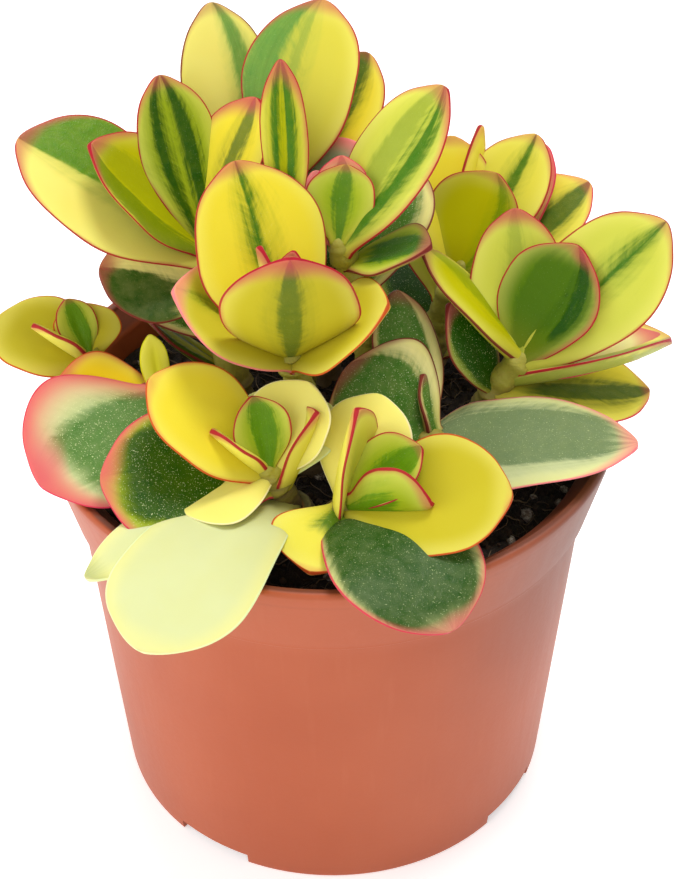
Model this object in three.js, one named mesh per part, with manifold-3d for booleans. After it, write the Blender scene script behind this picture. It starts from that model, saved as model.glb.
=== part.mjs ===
// Potted sunset jade plant. Millimetres, +Z up, the front of the plant faces -Y.
// The origin is the centre of the pot's flat underside, so the pot stands on z = 0.
import * as THREE from 'three';
import { mergeVertices } from 'three/addons/utils/BufferGeometryUtils.js';
import Module from 'manifold-3d';

const wasm = await Module();
wasm.setup();

// Pot: a 12 cm nursery pot with a tapering collar below the lip.
const POT_HEIGHT = 97;
const BASE_RADIUS = 48.6;
const BODY_TOP_RADIUS = 54.4;
const LEDGE_Z = 79;
const COLLAR_FOOT_RADIUS = 56;
const RIM_RADIUS = 60;
const LIP_INNER_RADIUS = 57.7;
const WALL = 1.4;
const FLOOR = 1.8;
const POT_SEGMENTS = 56;

// Drain slots cut through the corner of wall and floor.
const SLOT_COUNT = 4;
const SLOT_FIRST_DEG = -34;
const SLOT_WIDTH = 18;
const SLOT_DEPTH = 9;
const SLOT_HEIGHT = 3;

// Soil, which fills the pot to 10 mm below the lip.
const SOIL_Z = 87;
const SOIL_DOME = 1.2;
const SOIL_ROUGHNESS = 0.5;
const SOIL_SEGMENTS = 32;
const GAP = 0.35;
const FOOT_Z = 76;

// Leaf: a thick blade, spoon-shaped in outline, with a blunt edge.
const LEAF_THICKNESS = 3.8;
const LEAF_EDGE = 0.7;
const PETIOLE_SHARE = 0.28;
const RINGS_ALONG = [0, 0.15, 0.34, 0.53, 0.71, 0.87, 0.98];
const POINTS_ACROSS = [-1, -0.6, 0.6, 1];
const STEM_SIDES = 8;
const STEM_STEPS = 6;
const SLIVER = 0.02;

const colours = {
  plastic: 0xc4714f,
  soil: 0x33281f,
  yellow: 0xe0d455,
  mixed: 0xb9bb50,
  grey: 0x9fb389,
};

const group = new THREE.Group();
group.name = 'potted_sunset_jade_plant';

function addPiece(name, geometry, colour, roughness) {
  const material = new THREE.MeshStandardMaterial({ color: colour, roughness, metalness: 0 });
  material.name = `${name}_finish`;
  const mesh = new THREE.Mesh(geometry, material);
  mesh.name = name;
  group.add(mesh);
}

// Solids, for joining and cutting.
function toSolid(geometry) {
  const bare = geometry.clone();
  bare.deleteAttribute('normal');
  bare.deleteAttribute('uv');
  const merged = mergeVertices(bare, 1e-4);
  return new wasm.Manifold(new wasm.Mesh({
    numProp: 3,
    vertProperties: Float32Array.from(merged.attributes.position.array),
    triVerts: Uint32Array.from(merged.index.array),
  }));
}

function toGeometry(solid) {
  const mesh = solid.getMesh();
  const geometry = new THREE.BufferGeometry();
  geometry.setAttribute('position', new THREE.BufferAttribute(mesh.vertProperties, 3));
  geometry.setIndex(new THREE.BufferAttribute(mesh.triVerts, 1));
  geometry.computeVertexNormals();
  return geometry;
}

function unionOf(solids) {
  return solids.reduce((whole, solid) => whole.add(solid));
}

// Fills the small voids that crossing leaves close off, and drops slivers along the seams.
function tidied(solid) {
  return unionOf(solid.decompose().filter((shell) => shell.volume() > 0)).simplify(SLIVER);
}

// A closed solid from rings with the same number of points, with a fan over each end ring.
function skin(rings) {
  const count = rings[0].length;
  const points = [...rings.flat(), middle(rings[0]), middle(rings.at(-1))];
  const startCentre = points.length - 2;
  const endCentre = points.length - 1;
  const lastRing = (rings.length - 1) * count;
  const index = [];
  for (let j = 0; j < count; j += 1) {
    const next = (j + 1) % count;
    for (let i = 0; i < rings.length - 1; i += 1) {
      const a = i * count + j;
      const b = i * count + next;
      index.push(a, b, b + count, a, b + count, a + count);
    }
    index.push(startCentre, next, j);
    index.push(endCentre, lastRing + j, lastRing + next);
  }
  const geometry = new THREE.BufferGeometry();
  geometry.setAttribute('position', new THREE.Float32BufferAttribute(points.flatMap((p) => p.toArray()), 3));
  geometry.setIndex(index);
  return toSolid(geometry);
}

function middle(ring) {
  const sum = new THREE.Vector3();
  ring.forEach((point) => sum.add(point));
  return sum.divideScalar(ring.length);
}

// Stems and leaves. A stem is a bowed tapering branch from its foot in the soil to its top.
const stems = new Map();

function stem(name, foot, top, footRadius, topRadius, lean = 0.6) {
  const start = new THREE.Vector3(foot[0], foot[1], FOOT_Z);
  const end = new THREE.Vector3(...top);
  const bow = new THREE.Vector3(foot[0], foot[1], FOOT_Z + lean * (end.z - FOOT_Z));
  const curve = new THREE.QuadraticBezierCurve3(start, bow, end);
  const entry = { curve, length: curve.getLength(), footRadius, topRadius, leaves: [] };
  stems.set(name, entry);
  return entry;
}

// A leaf starts on its stem, `down` mm below the top, and its tip lies `length` mm away.
// Heading turns from +X towards +Y, rise is above level, roll turns the blade about its length,
// bend curls it from root to tip, and widest is where along the blade it is broadest.
function leaf(owner, down, heading, rise, roll, length, width, bend = 0, cup = 0.1, widest = 0.6) {
  owner.leaves.push({ down, heading, rise, roll, length, width, bend, cup, widest });
}

function stemPoint(owner, down) {
  return owner.curve.getPointAt(THREE.MathUtils.clamp(1 - down / owner.length, 0, 1))
    .addScaledVector(owner.curve.getTangent(1), Math.max(-down, 0));
}

function stemSolid(owner, grow = 0) {
  const rings = [];
  for (let i = 0; i <= STEM_STEPS; i += 1) {
    const along = i / STEM_STEPS;
    const centre = owner.curve.getPoint(along);
    const tangent = owner.curve.getTangent(along);
    if (i === 0) centre.addScaledVector(tangent, -grow);
    const side = new THREE.Vector3(1, 0, 0).cross(tangent).normalize();
    const other = tangent.clone().cross(side);
    const radius = THREE.MathUtils.lerp(owner.footRadius, owner.topRadius, along) + grow;
    const ring = [];
    for (let j = 0; j < STEM_SIDES; j += 1) {
      const turn = (2 * Math.PI * j) / STEM_SIDES;
      ring.push(centre.clone()
        .addScaledVector(side, radius * Math.cos(turn))
        .addScaledVector(other, radius * Math.sin(turn)));
    }
    rings.push(ring);
  }
  return skin(rings);
}

// Share of the full width: it swells as a sine up to the widest place, then rounds off to the tip.
function outline(along, widest) {
  if (along < widest) return Math.sin((0.5 * Math.PI * along) / widest) ** 0.8;
  const beyond = Math.min((along - widest) / (1 - widest), 1);
  return (1 - beyond ** 2.2) ** 0.52;
}

function leafSolid(owner, shape) {
  const [heading, rise, roll] = [shape.heading, shape.rise, shape.roll].map(THREE.MathUtils.degToRad);
  const forward = new THREE.Vector3(
    Math.cos(rise) * Math.cos(heading), Math.cos(rise) * Math.sin(heading), Math.sin(rise));
  const level = new THREE.Vector3(Math.sin(heading), -Math.cos(heading), 0);
  const up = level.clone().cross(forward);
  const face = up.multiplyScalar(Math.cos(roll)).addScaledVector(level, Math.sin(roll));
  const across = forward.clone().cross(face);
  const root = stemPoint(owner, shape.down);
  const bend = THREE.MathUtils.degToRad(shape.bend || 1e-3);
  const arc = shape.length / (2 * Math.sin(bend / 2));

  const rings = RINGS_ALONG.map((along) => {
    const angle = (along - 0.5) * bend;
    const centre = root.clone()
      .addScaledVector(forward, arc * (Math.sin(angle) + Math.sin(bend / 2)))
      .addScaledVector(face, arc * (Math.cos(bend / 2) - Math.cos(angle)));
    const out = face.clone().multiplyScalar(Math.cos(angle)).addScaledVector(forward, -Math.sin(angle));
    const half = Math.hypot(
      0.5 * shape.width * outline(along, shape.widest),
      0.5 * shape.width * PETIOLE_SHARE * (1 - along) ** 3);
    const thickness = LEAF_THICKNESS * Math.min(1, 0.55 + shape.length / 80) * (1 - 0.55 * along ** 2);
    const point = (u, side) => {
      const lens = LEAF_EDGE / 2 + ((thickness - LEAF_EDGE) / 2) * (1 - Math.abs(u) ** 3);
      return centre.clone()
        .addScaledVector(across, half * u)
        .addScaledVector(out, shape.cup * half * u * u + side * Math.min(lens, Math.max(half, LEAF_EDGE / 2)));
    };
    return [
      ...POINTS_ACROSS.map((u) => point(u, 1)),
      ...POINTS_ACROSS.map((u) => point(-u, -1)),
    ];
  });
  return skin(rings);
}

// Upper left head.
const upperLeft = stem('stem_upper_left', [-20, 6], [-26, 10, 130], 4.5, 2);
leaf(upperLeft, 5, 172, 35, -20, 45.5, 28, -15, 0.15);
leaf(upperLeft, 3, 178, 50, -20, 33.5, 20, 10, 0.4);
leaf(upperLeft, 13, 183, 18, -30, 25, 20, -15, 0.15);
leaf(upperLeft, 1, 117, 59, 0, 35, 17, 0, 0.2);
leaf(upperLeft, 0, 45, 57, 0, 31, 18, 0, 0.15);
leaf(upperLeft, 34, 163, 34, 22, 22, 9);
leaf(upperLeft, 24, 145, 16, 0, 25, 18, -15);
leaf(upperLeft, 18, 112, 16, 0, 26, 17, -15);

// Back left head, mostly behind the upper left one.
const backLeft = stem('stem_back_left', [-14, 26], [-17, 26, 129.5], 4.5, 2);
leaf(backLeft, 0, 113, 64, 0, 41, 20, -10, 0.15, 0.55);
leaf(backLeft, 9, 165, 25, 0, 34, 21, -10, 0.15);
leaf(backLeft, 9, 112, 22, 0, 30, 20, -10, 0.15);
leaf(backLeft, 20, 150, 10, 0, 28, 19, -15);
leaf(backLeft, 23, 62, 12, 0, 27, 17, -15);

// Tallest head, at the back.
const back = stem('stem_back', [-2, 20], [-10, 18, 137], 5, 2.1);
leaf(back, 0, 65, 55, 0, 39, 25, -10, 0.15, 0.58);
leaf(back, 3, 49, 40, 10, 35, 20);
leaf(back, 5, -5, 38, 40, 22, 15, 0, 0.15);
leaf(back, 9, 71, 24, 0, 33, 20, -10, 0.15);
leaf(back, 44, 80, 14, 0, 32, 22, -20);
leaf(back, 24, 57, 14, 0, 29, 18, -15);

// Slender shoot in the middle.
const middleStem = stem('stem_middle', [-6, 3], [-8, 2, 134], 4, 1.9);
leaf(middleStem, 0, 94, 62, 0, 36.5, 9.5, 0, 0.3);

// Head right of the middle.
const centre = stem('stem_centre', [10, 4], [2, 2, 134], 4.5, 1.9);
leaf(centre, 2, 34, 50, 0, 38.5, 22, -5, 0.15, 0.55);
leaf(centre, 0, 80, 55, 0, 16, 14, 0, 0.45);
leaf(centre, 3, 92, 56, 0, 20, 12, 0, 0.3);
leaf(centre, 3, 121, 50, 0, 18, 10, 0, 0.2);
leaf(centre, 6, 343, 26, 0, 19, 17, 0, 0.2);
leaf(centre, 14, 68, 30, 0, 32, 20, -10, 0.15);

// Broad head at the front of the middle.
const centreFront = stem('stem_centre_front', [-4, -11], [-8, -14, 120], 5, 2.2);
leaf(centreFront, 0, 119, 56, 0, 38.5, 28, -5, 0.1, 0.55);
leaf(centreFront, 0, 275, 70, 0, 31, 27, 40, 0.1, 0.5);
leaf(centreFront, 4, 181, 39, -12, 29.5, 24, -10, 0.2);
leaf(centreFront, 4, 351, 41, 4, 25, 25, -10);
leaf(centreFront, -1, 140, 72, 60, 22, 8, 0, 0.2);
leaf(centreFront, -1, 75, 74, 0, 20, 8, 0, 0.2);

// Head at the back right.
const rightBack = stem('stem_right_back', [20, 17], [28, 18, 117], 4.5, 2);
leaf(rightBack, 2, 50, 58, 0, 23, 22, 0, 0.35);
leaf(rightBack, 4, 91, 47, 10, 31.5, 18, 0, 0.2);
leaf(rightBack, 3, 48, 42, 0, 35, 20, 0, 0.15);
leaf(rightBack, 6, 74, 47, 60, 36, 7);
leaf(rightBack, 7, 45, 39, 0, 38, 20, 0, 0.15);
leaf(rightBack, 6, 23, 30, 8, 37, 22, 0, 0.15);
leaf(rightBack, 9, 90, 22, 0, 34, 22, -10, 0.15);
leaf(rightBack, 24, 40, 12, 0, 28, 20, -10);
leaf(rightBack, 18, 104, 10, 0, 27, 18, -15);

// Head at the right.
const right = stem('stem_right', [29, -2], [39.3, -2.8, 109], 4.5, 2);
leaf(right, 0.5, 93, 53, -10, 31, 19, 0, 0.25, 0.5);
leaf(right, 1.5, 34, 59, 28, 27.5, 21, 5, 0.35);
leaf(right, 2.5, 12, 46, 42, 43, 24, 0, 0.1, 0.58);
leaf(right, 5.5, 14, 6, 0, 34, 14);
leaf(right, 6.5, 10, 8, -20, 36, 22, 10, 0.4);
leaf(right, 10.5, 4, -4, 0, 33, 25, -10);
leaf(right, 0.5, 158, 45, 10, 31, 14);
leaf(right, 10.5, 178, 66, -35, 26, 14, 0, 0.2);

// Low stem at the right front, with the long grey-green leaf.
const rightFront = stem('stem_right_front', [8, -16], [21, -18, 100], 5, 2.4, 0.5);
leaf(rightFront, 6, 351, 10, 4, 45.5, 28, -5, 0.1, 0.3);
leaf(rightFront, 3, 104, 46, 0, 32.5, 14);
leaf(rightFront, 1, 152, 32, -30, 23, 28);
leaf(rightFront, 1, 100, 50, 60, 14, 8);

// Front plant: a cut stump with two side shoots.
const stump = stem('stump', [-5, -28], [-8, -29.5, 92], 5, 4.2);
const frontLeft = stem('front_left', [-8, -27], [-12.5, -32, 104], 5, 2);
const frontRight = stem('front_right', [0.5, -30], [3.5, -38, 100.5], 4.4, 2);
leaf(frontLeft, 3, 166, 40, -16, 31.5, 22, -10, 0.15, 0.6);
leaf(frontLeft, 0, 113, 65, 0, 15.5, 12, 0, 0.5);
leaf(frontLeft, 0, 178, 44, 32, 14.5, 10, 0, 0.2);
leaf(frontLeft, 2, 52, 50, 0, 20, 19, 0, 0.15);
leaf(frontLeft, 9, 0, 70, -6, 22, 14, 0, 0.4, 0.5);
leaf(frontLeft, 2, 212, -4, 0, 19, 17, 0, 0.15);
leaf(frontLeft, 4, 105, 42, 0, 18, 14);
leaf(frontLeft, 4, 47, 30, 0, 19, 14);
leaf(frontLeft, 4, 186, 6, -24, 34, 29, -10);
leaf(frontLeft, 13, 239, 3, 0, 50.5, 29, -60, 0.05, 0.74);
leaf(frontLeft, 14, 215, 7, 0, 46, 14, -50, 0.05);
leaf(frontRight, 8, 185, 97, -30, 27, 18, 0, 0.3, 0.4);
leaf(frontRight, 2, 66, 44, 0, 23, 19);
leaf(frontRight, 0, 14, 38, 15, 18.5, 15, 0, 0.3);
leaf(frontRight, -1, 338, 18, -68, 17.5, 15.5, 0, 0.5);
leaf(frontRight, 1, 348, 14, 25, 33, 26, -5, 0.1, 0.55);
leaf(frontRight, 3, 248, -4, 0, 18.5, 21, 0, 0.25);
leaf(frontRight, 8, 302, 0, 0, 38.5, 30, -68, 0.05);

// Slender shoot that reaches out over the left rim.
const left = stem('stem_left', [-33, -3], [-50, 0, 108], 4, 1.8, 0.5);
leaf(left, 3, 160, 17, -15, 23.5, 20, -5);
leaf(left, 1, 100, 45, 0, 12, 14);
leaf(left, 0, 125, 55, 0, 12.8, 9, 0, 0.3);
leaf(left, 0, 180, 38, 33, 13.5, 7, 0, 0.3);

// Old head at the left front.
const leftFront = stem('stem_left_front', [-30, -14], [-35, -10, 105], 4.5, 2.2);
leaf(leftFront, 2, 178, 14, -25, 22, 18);
leaf(leftFront, 0, 223, -10, -20, 31, 32, -15, 0.1, 0.52);
leaf(leftFront, 2, 105, 54, 0, 15, 6);

// The front plant is one piece; every other stem is a piece with its own leaves.
const plants = [
  ['stem_upper_left', [upperLeft], colours.mixed],
  ['stem_back_left', [backLeft], colours.mixed],
  ['stem_back', [back], colours.mixed],
  ['stem_middle', [middleStem], colours.mixed],
  ['stem_centre', [centre], colours.mixed],
  ['stem_centre_front', [centreFront], colours.yellow],
  ['stem_right_back', [rightBack], colours.mixed],
  ['stem_right', [right], colours.yellow],
  ['stem_right_front', [rightFront], colours.grey],
  ['front_plant', [stump, frontLeft, frontRight], colours.yellow],
  ['stem_left', [left], colours.yellow],
  ['stem_left_front', [leftFront], colours.grey],
];
for (const [name, branches, colour] of plants) {
  const solids = branches.flatMap((branch) => [
    stemSolid(branch),
    ...branch.leaves.map((shape) => leafSolid(branch, shape)),
  ]);
  addPiece(name, toGeometry(tidied(unionOf(solids))), colour, 0.38);
}

// Pot, turned from its cross-section.
function innerRadius(z) {
  return BASE_RADIUS - WALL + ((BODY_TOP_RADIUS - BASE_RADIUS) * z) / LEDGE_Z;
}

const CHAMFER_FOOT_Z = POT_HEIGHT - 3.6;
const potSection = [
  [0, 0],
  [BASE_RADIUS, 0],
  [BODY_TOP_RADIUS, LEDGE_Z - 0.6],
  [COLLAR_FOOT_RADIUS, LEDGE_Z],
  [RIM_RADIUS - 0.15, POT_HEIGHT - 1.6],
  [RIM_RADIUS, POT_HEIGHT - 0.9],
  [RIM_RADIUS - 0.3, POT_HEIGHT - 0.3],
  [RIM_RADIUS - 0.9, POT_HEIGHT],
  [LIP_INNER_RADIUS + 0.6, POT_HEIGHT],
  [LIP_INNER_RADIUS, POT_HEIGHT - 0.5],
  [innerRadius(CHAMFER_FOOT_Z) + 0.9, CHAMFER_FOOT_Z],
  [innerRadius(CHAMFER_FOOT_Z), CHAMFER_FOOT_Z - 1],
  [innerRadius(FLOOR), FLOOR],
  [0, FLOOR],
].map(([radius, z]) => new THREE.Vector2(radius, z));

function turned(section, segments) {
  return toSolid(new THREE.LatheGeometry(section, segments).rotateX(Math.PI / 2));
}

const slots = [];
for (let i = 0; i < SLOT_COUNT; i += 1) {
  const slot = new THREE.BoxGeometry(SLOT_WIDTH, SLOT_DEPTH, 2 * SLOT_HEIGHT)
    .translate(0, -BASE_RADIUS, 0)
    .rotateZ(THREE.MathUtils.degToRad(SLOT_FIRST_DEG + (360 * i) / SLOT_COUNT));
  slots.push(toSolid(slot));
}
const pot = turned(potSection, POT_SEGMENTS).subtract(unionOf(slots));
addPiece('pot', toGeometry(pot), colours.plastic, 0.42);

// Soil: rings out from the middle, slightly domed and uneven, with a hole for every stem.
function soilTop(x, y) {
  const out = Math.hypot(x, y) / LIP_INNER_RADIUS;
  const uneven = Math.sin(0.31 * x + 1.3) * Math.cos(0.27 * y) + Math.sin(0.13 * x - 0.19 * y);
  return SOIL_Z + SOIL_DOME * (0.5 - out ** 2) + SOIL_ROUGHNESS * uneven;
}

const SOIL_RINGS = [0.3, 0.6, 0.82, 1];
const soilEdge = innerRadius(SOIL_Z) - GAP;
const soilRings = [];
for (const z of [FLOOR + GAP, 40]) {
  soilRings.push(circle(innerRadius(z) - GAP, () => z));
}
for (const share of SOIL_RINGS.toReversed()) {
  soilRings.push(circle(share * soilEdge, soilTop));
}

function circle(radius, height) {
  const ring = [];
  for (let j = 0; j < SOIL_SEGMENTS; j += 1) {
    const turn = (2 * Math.PI * j) / SOIL_SEGMENTS;
    const x = radius * Math.cos(turn);
    const y = radius * Math.sin(turn);
    ring.push(new THREE.Vector3(x, y, height(x, y)));
  }
  return ring;
}

const holes = [...stems.values()].map((entry) => stemSolid(entry, GAP));
const lumps = [
  [39.7, -26.3, 1.8], [46.5, -22, 1], [48, -18, 1], [-0.3, -44.4, 1.5], [36, -35, 1.2],
  [43, -28.5, 0.9], [-39, 33, 1.2], [-6, -40, 1.2], [30, 38, 1.4], [-44, 20, 1.3],
].map(([x, y, radius]) => toSolid(new THREE.IcosahedronGeometry(radius, 0)
  .translate(x, y, soilTop(x, y) + 0.2 * radius)));
const soil = unionOf([skin(soilRings), ...lumps]).subtract(unionOf(holes));
addPiece('soil', toGeometry(soil), colours.soil, 0.95);

export default group;
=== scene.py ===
"""Potted variegated jade plant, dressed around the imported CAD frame.

Sizes in this file are millimetres and become metres when a mesh is written. +Z is up, the front of
the plant faces -Y, and the origin is the centre of the pot's flat underside.
"""

import logging
from dataclasses import dataclass, field, replace
from enum import Enum

import bpy
import numpy as np
from mathutils import Matrix


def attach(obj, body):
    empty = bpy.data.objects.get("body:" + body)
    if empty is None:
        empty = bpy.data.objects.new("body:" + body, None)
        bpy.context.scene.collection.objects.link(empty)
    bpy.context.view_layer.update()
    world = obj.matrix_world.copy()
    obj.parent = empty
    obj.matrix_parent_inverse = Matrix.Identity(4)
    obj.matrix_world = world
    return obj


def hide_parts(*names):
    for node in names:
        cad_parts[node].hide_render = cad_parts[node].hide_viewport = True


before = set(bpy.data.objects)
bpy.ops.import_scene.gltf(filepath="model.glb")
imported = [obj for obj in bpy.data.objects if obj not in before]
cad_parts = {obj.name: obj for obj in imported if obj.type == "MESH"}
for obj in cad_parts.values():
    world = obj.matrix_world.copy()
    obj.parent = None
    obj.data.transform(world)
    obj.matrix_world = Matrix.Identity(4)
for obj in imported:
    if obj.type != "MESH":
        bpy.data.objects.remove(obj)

LOG = logging.getLogger("jade_plant")
MM = 0.001
SEED = 20
YOUNG_FROM, YOUNG_OVER = 88, 30

Socket = bpy.types.NodeSocket
Value = Socket | float | tuple


def srgb(red: float, green: float, blue: float) -> tuple[float, float, float]:
    """Turns a screen colour into linear light.

    Args:
        red: Red from 0 to 255.
        green: Green from 0 to 255.
        blue: Blue from 0 to 255.

    Returns:
        The three linear shares, from 0 to 1.
    """
    shares = np.array([red, green, blue]) / 255
    linear = np.where(shares <= 0.04045, shares / 12.92, ((shares + 0.055) / 1.055) ** 2.4)
    return tuple(float(share) for share in linear)


def rgba(colour: tuple[float, float, float]) -> tuple[float, float, float, float]:
    """A linear colour with full cover."""
    return (*colour, 1.0)


class Tone(Enum):
    """The plant's own colours, and a darker olive that paints shade at the leaves' roots."""

    YELLOW = srgb(238, 220, 60)
    GOLD = srgb(228, 196, 16)
    LEMON = srgb(230, 222, 84)
    LIGHT = srgb(242, 232, 124)
    CREAM = srgb(244, 232, 168)
    PALE = srgb(222, 232, 170)
    OLIVE = srgb(194, 190, 8)
    LIME = srgb(164, 182, 36)
    MOSS = srgb(92, 128, 10)
    SAGE = srgb(138, 158, 96)
    GLAUCOUS = srgb(178, 188, 164)
    GREEN = srgb(58, 120, 14)
    DEEP_GREEN = srgb(26, 74, 2)
    BLUE_GREEN = srgb(50, 96, 34)
    LEAF_GREEN = srgb(92, 148, 10)
    CRIMSON = srgb(168, 8, 42)
    ROSE = srgb(204, 44, 78)
    PINK = srgb(238, 126, 130)
    ORANGE = srgb(196, 70, 30)
    BROWN = srgb(118, 36, 34)
    # Painted shade at the leaves' roots
    ROOT_SHADE = srgb(160, 148, 2)
    MUSTARD = srgb(196, 184, 46)
    HONEY = srgb(212, 204, 76)
    FRESH_GREEN = srgb(112, 164, 70)
    SPRING = srgb(206, 210, 84)
    CREAM_GREEN = srgb(212, 218, 166)


class Graph:
    """The nodes of one material, written as formulas on sockets."""

    def __init__(self, name: str) -> None:
        """Starts a material with its shader.

        Args:
            name: Name of the finish.
        """
        self.material = bpy.data.materials.new(name)
        self.material.use_nodes = True
        self.nodes = self.material.node_tree.nodes
        self.links = self.material.node_tree.links
        self.shader = self.nodes["Principled BSDF"]

    def feed(self, socket: Socket, value: Value) -> None:
        """Links a socket to another, or sets its own value.

        Args:
            socket: The input to fill.
            value: An output socket, a number or a colour.
        """
        if isinstance(value, bpy.types.NodeSocket):
            self.links.new(value, socket)
        else:
            socket.default_value = value

    def add(self, kind: str, inputs: dict, output: int | str = 0, **settings) -> Socket:
        """Adds a node.

        Args:
            kind: Blender's name of the node.
            inputs: Values by input name or number.
            output: Name or number of the output that is wanted.
            **settings: The node's own options.

        Returns:
            The wanted output.
        """
        node = self.nodes.new(kind)
        for option, choice in settings.items():
            setattr(node, option, choice)
        for place, value in inputs.items():
            self.feed(node.inputs[place], value)
        return node.outputs[output]

    def math(self, operation: str, first: Value, second: Value = 0.0) -> Socket:
        """One step of arithmetic on two numbers."""
        return self.add("ShaderNodeMath", {0: first, 1: second}, operation=operation)

    def times(self, first: Value, second: Value) -> Socket:
        """The product of two numbers."""
        return self.math("MULTIPLY", first, second)

    def plus(self, first: Value, second: Value) -> Socket:
        """The sum of two numbers."""
        return self.math("ADD", first, second)

    def minus(self, first: Value, second: Value) -> Socket:
        """The first number less the second."""
        return self.math("SUBTRACT", first, second)

    def shifted(self, value: Value, sway: Value, amount: float) -> Socket:
        """Value moved by a noise about its middle: value + amount * (sway - 0.5)."""
        return self.plus(value, self.times(self.minus(sway, 0.5), amount))

    def rise(self, value: Value, low: Value, high: Value) -> Socket:
        """Smooth step from 0 at low to 1 at high."""
        return self.add(
            "ShaderNodeMapRange",
            {"Value": value, "From Min": low, "From Max": high},
            interpolation_type="SMOOTHSTEP",
        )

    def fall(self, value: Value, low: Value, high: Value) -> Socket:
        """Smooth step from 1 at low to 0 at high."""
        return self.minus(1.0, self.rise(value, low, high))

    def between(self, share: Value, first: Value, second: Value) -> Socket:
        """A number part of the way from first to second."""
        return self.add("ShaderNodeMix", {0: share, 2: first, 3: second}, 0, data_type="FLOAT")

    def colour(self, share: Value, first: Value, second: Value, blend: str = "MIX") -> Socket:
        """A colour part of the way from first to second."""
        return self.add(
            "ShaderNodeMix", {0: share, 6: first, 7: second}, 2, data_type="RGBA", blend_type=blend
        )

    def noise(self, point: Value, scale: float, detail: float = 3.0, roughness: float = 0.5) -> Socket:
        """Cloudy noise from 0 to 1 at a point."""
        inputs = {"Vector": point, "Scale": scale, "Detail": detail, "Roughness": roughness}
        return self.add("ShaderNodeTexNoise", inputs, 0)

    def attribute(self, name: str, output: str = "Fac") -> Socket:
        """A value that the mesh holds at its points."""
        return self.add("ShaderNodeAttribute", {}, output, attribute_name=name)

    def split(self, vector: Value) -> tuple[Socket, Socket, Socket]:
        """The three numbers of a vector."""
        node = self.nodes.new("ShaderNodeSeparateXYZ")
        self.feed(node.inputs[0], vector)
        return node.outputs[0], node.outputs[1], node.outputs[2]

    def join(self, x: Value, y: Value, z: Value) -> Socket:
        """A vector of three numbers."""
        return self.add("ShaderNodeCombineXYZ", {0: x, 1: y, 2: z})

    def place(self) -> Socket:
        """The point on the object, in metres."""
        return self.add("ShaderNodeTexCoord", {}, "Object")

    def bump(self, height: Value, distance: float, strength: Value = 1.0) -> Socket:
        """A surface normal that follows a height."""
        inputs = {"Height": height, "Distance": distance, "Strength": strength}
        return self.add("ShaderNodeBump", inputs)

    def finish(self, **sockets: Value) -> bpy.types.Material:
        """Fills the shader's sockets.

        Args:
            **sockets: Values by socket name, with an underscore for each space.

        Returns:
            The finished material.
        """
        for name, value in sockets.items():
            self.feed(self.shader.inputs[name.replace("_", " ")], value)
        return self.material


@dataclass
class Skin:
    """A closed surface, with values at its points.

    Attributes:
        points: Places in millimetres, one row each.
        faces: Four point numbers a row, or three and a repeat of the last for a triangle.
        values: Numbers or triples for each point, by name.
        finish: Number of the material on the object.
    """

    points: np.ndarray
    faces: np.ndarray
    values: dict[str, np.ndarray] = field(default_factory=dict)
    finish: int = 0


def tube(rings: np.ndarray, values: dict[str, np.ndarray], finish: int = 0) -> Skin:
    """Closes rings of points into a skin with a fan at each end.

    Args:
        rings: Points by ring and place round the ring, in millimetres.
        values: Numbers or triples by ring and place, by name.
        finish: Number of the material on the object.

    Returns:
        The skin, with its faces outwards.
    """
    count, around = rings.shape[:2]
    ring, place = np.meshgrid(np.arange(count - 1), np.arange(around), indexing="ij")
    beside = (place + 1) % around
    here, above = ring * around, (ring + 1) * around
    quads = np.stack([here + place, here + beside, above + beside, above + place], axis=-1).reshape(-1, 4)
    first, last = count * around, count * around + 1
    spot = np.arange(around)
    after = (spot + 1) % around
    end = (count - 1) * around
    start_fan = np.stack([after, spot, np.full(around, first), np.full(around, first)], axis=-1)
    end_fan = np.stack([end + spot, end + after, np.full(around, last), np.full(around, last)], axis=-1)
    points = np.concatenate([rings.reshape(-1, 3), rings[[0, -1]].mean(axis=1)])
    faces = np.concatenate([quads, start_fan, end_fan])
    held = {}
    for name, value in values.items():
        poles = value[[0, -1]].mean(axis=1).reshape(2, -1)
        held[name] = np.concatenate([value.reshape(count * around, -1), poles])
    if volume(points, faces) < 0:
        faces = faces[:, [1, 0, 3, 2]]
    return Skin(points, faces, held, finish)


def volume(points: np.ndarray, faces: np.ndarray) -> float:
    """Signed volume under a skin: the sum of a . (b x c) / 6 over its triangles."""
    a, b, c, d = (points[faces[:, k]] for k in range(4))
    first = np.einsum("ij,ij->i", a, np.cross(b, c)).sum()
    second = np.einsum("ij,ij->i", a, np.cross(c, d)).sum()
    return float(first + second) / 6


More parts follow.
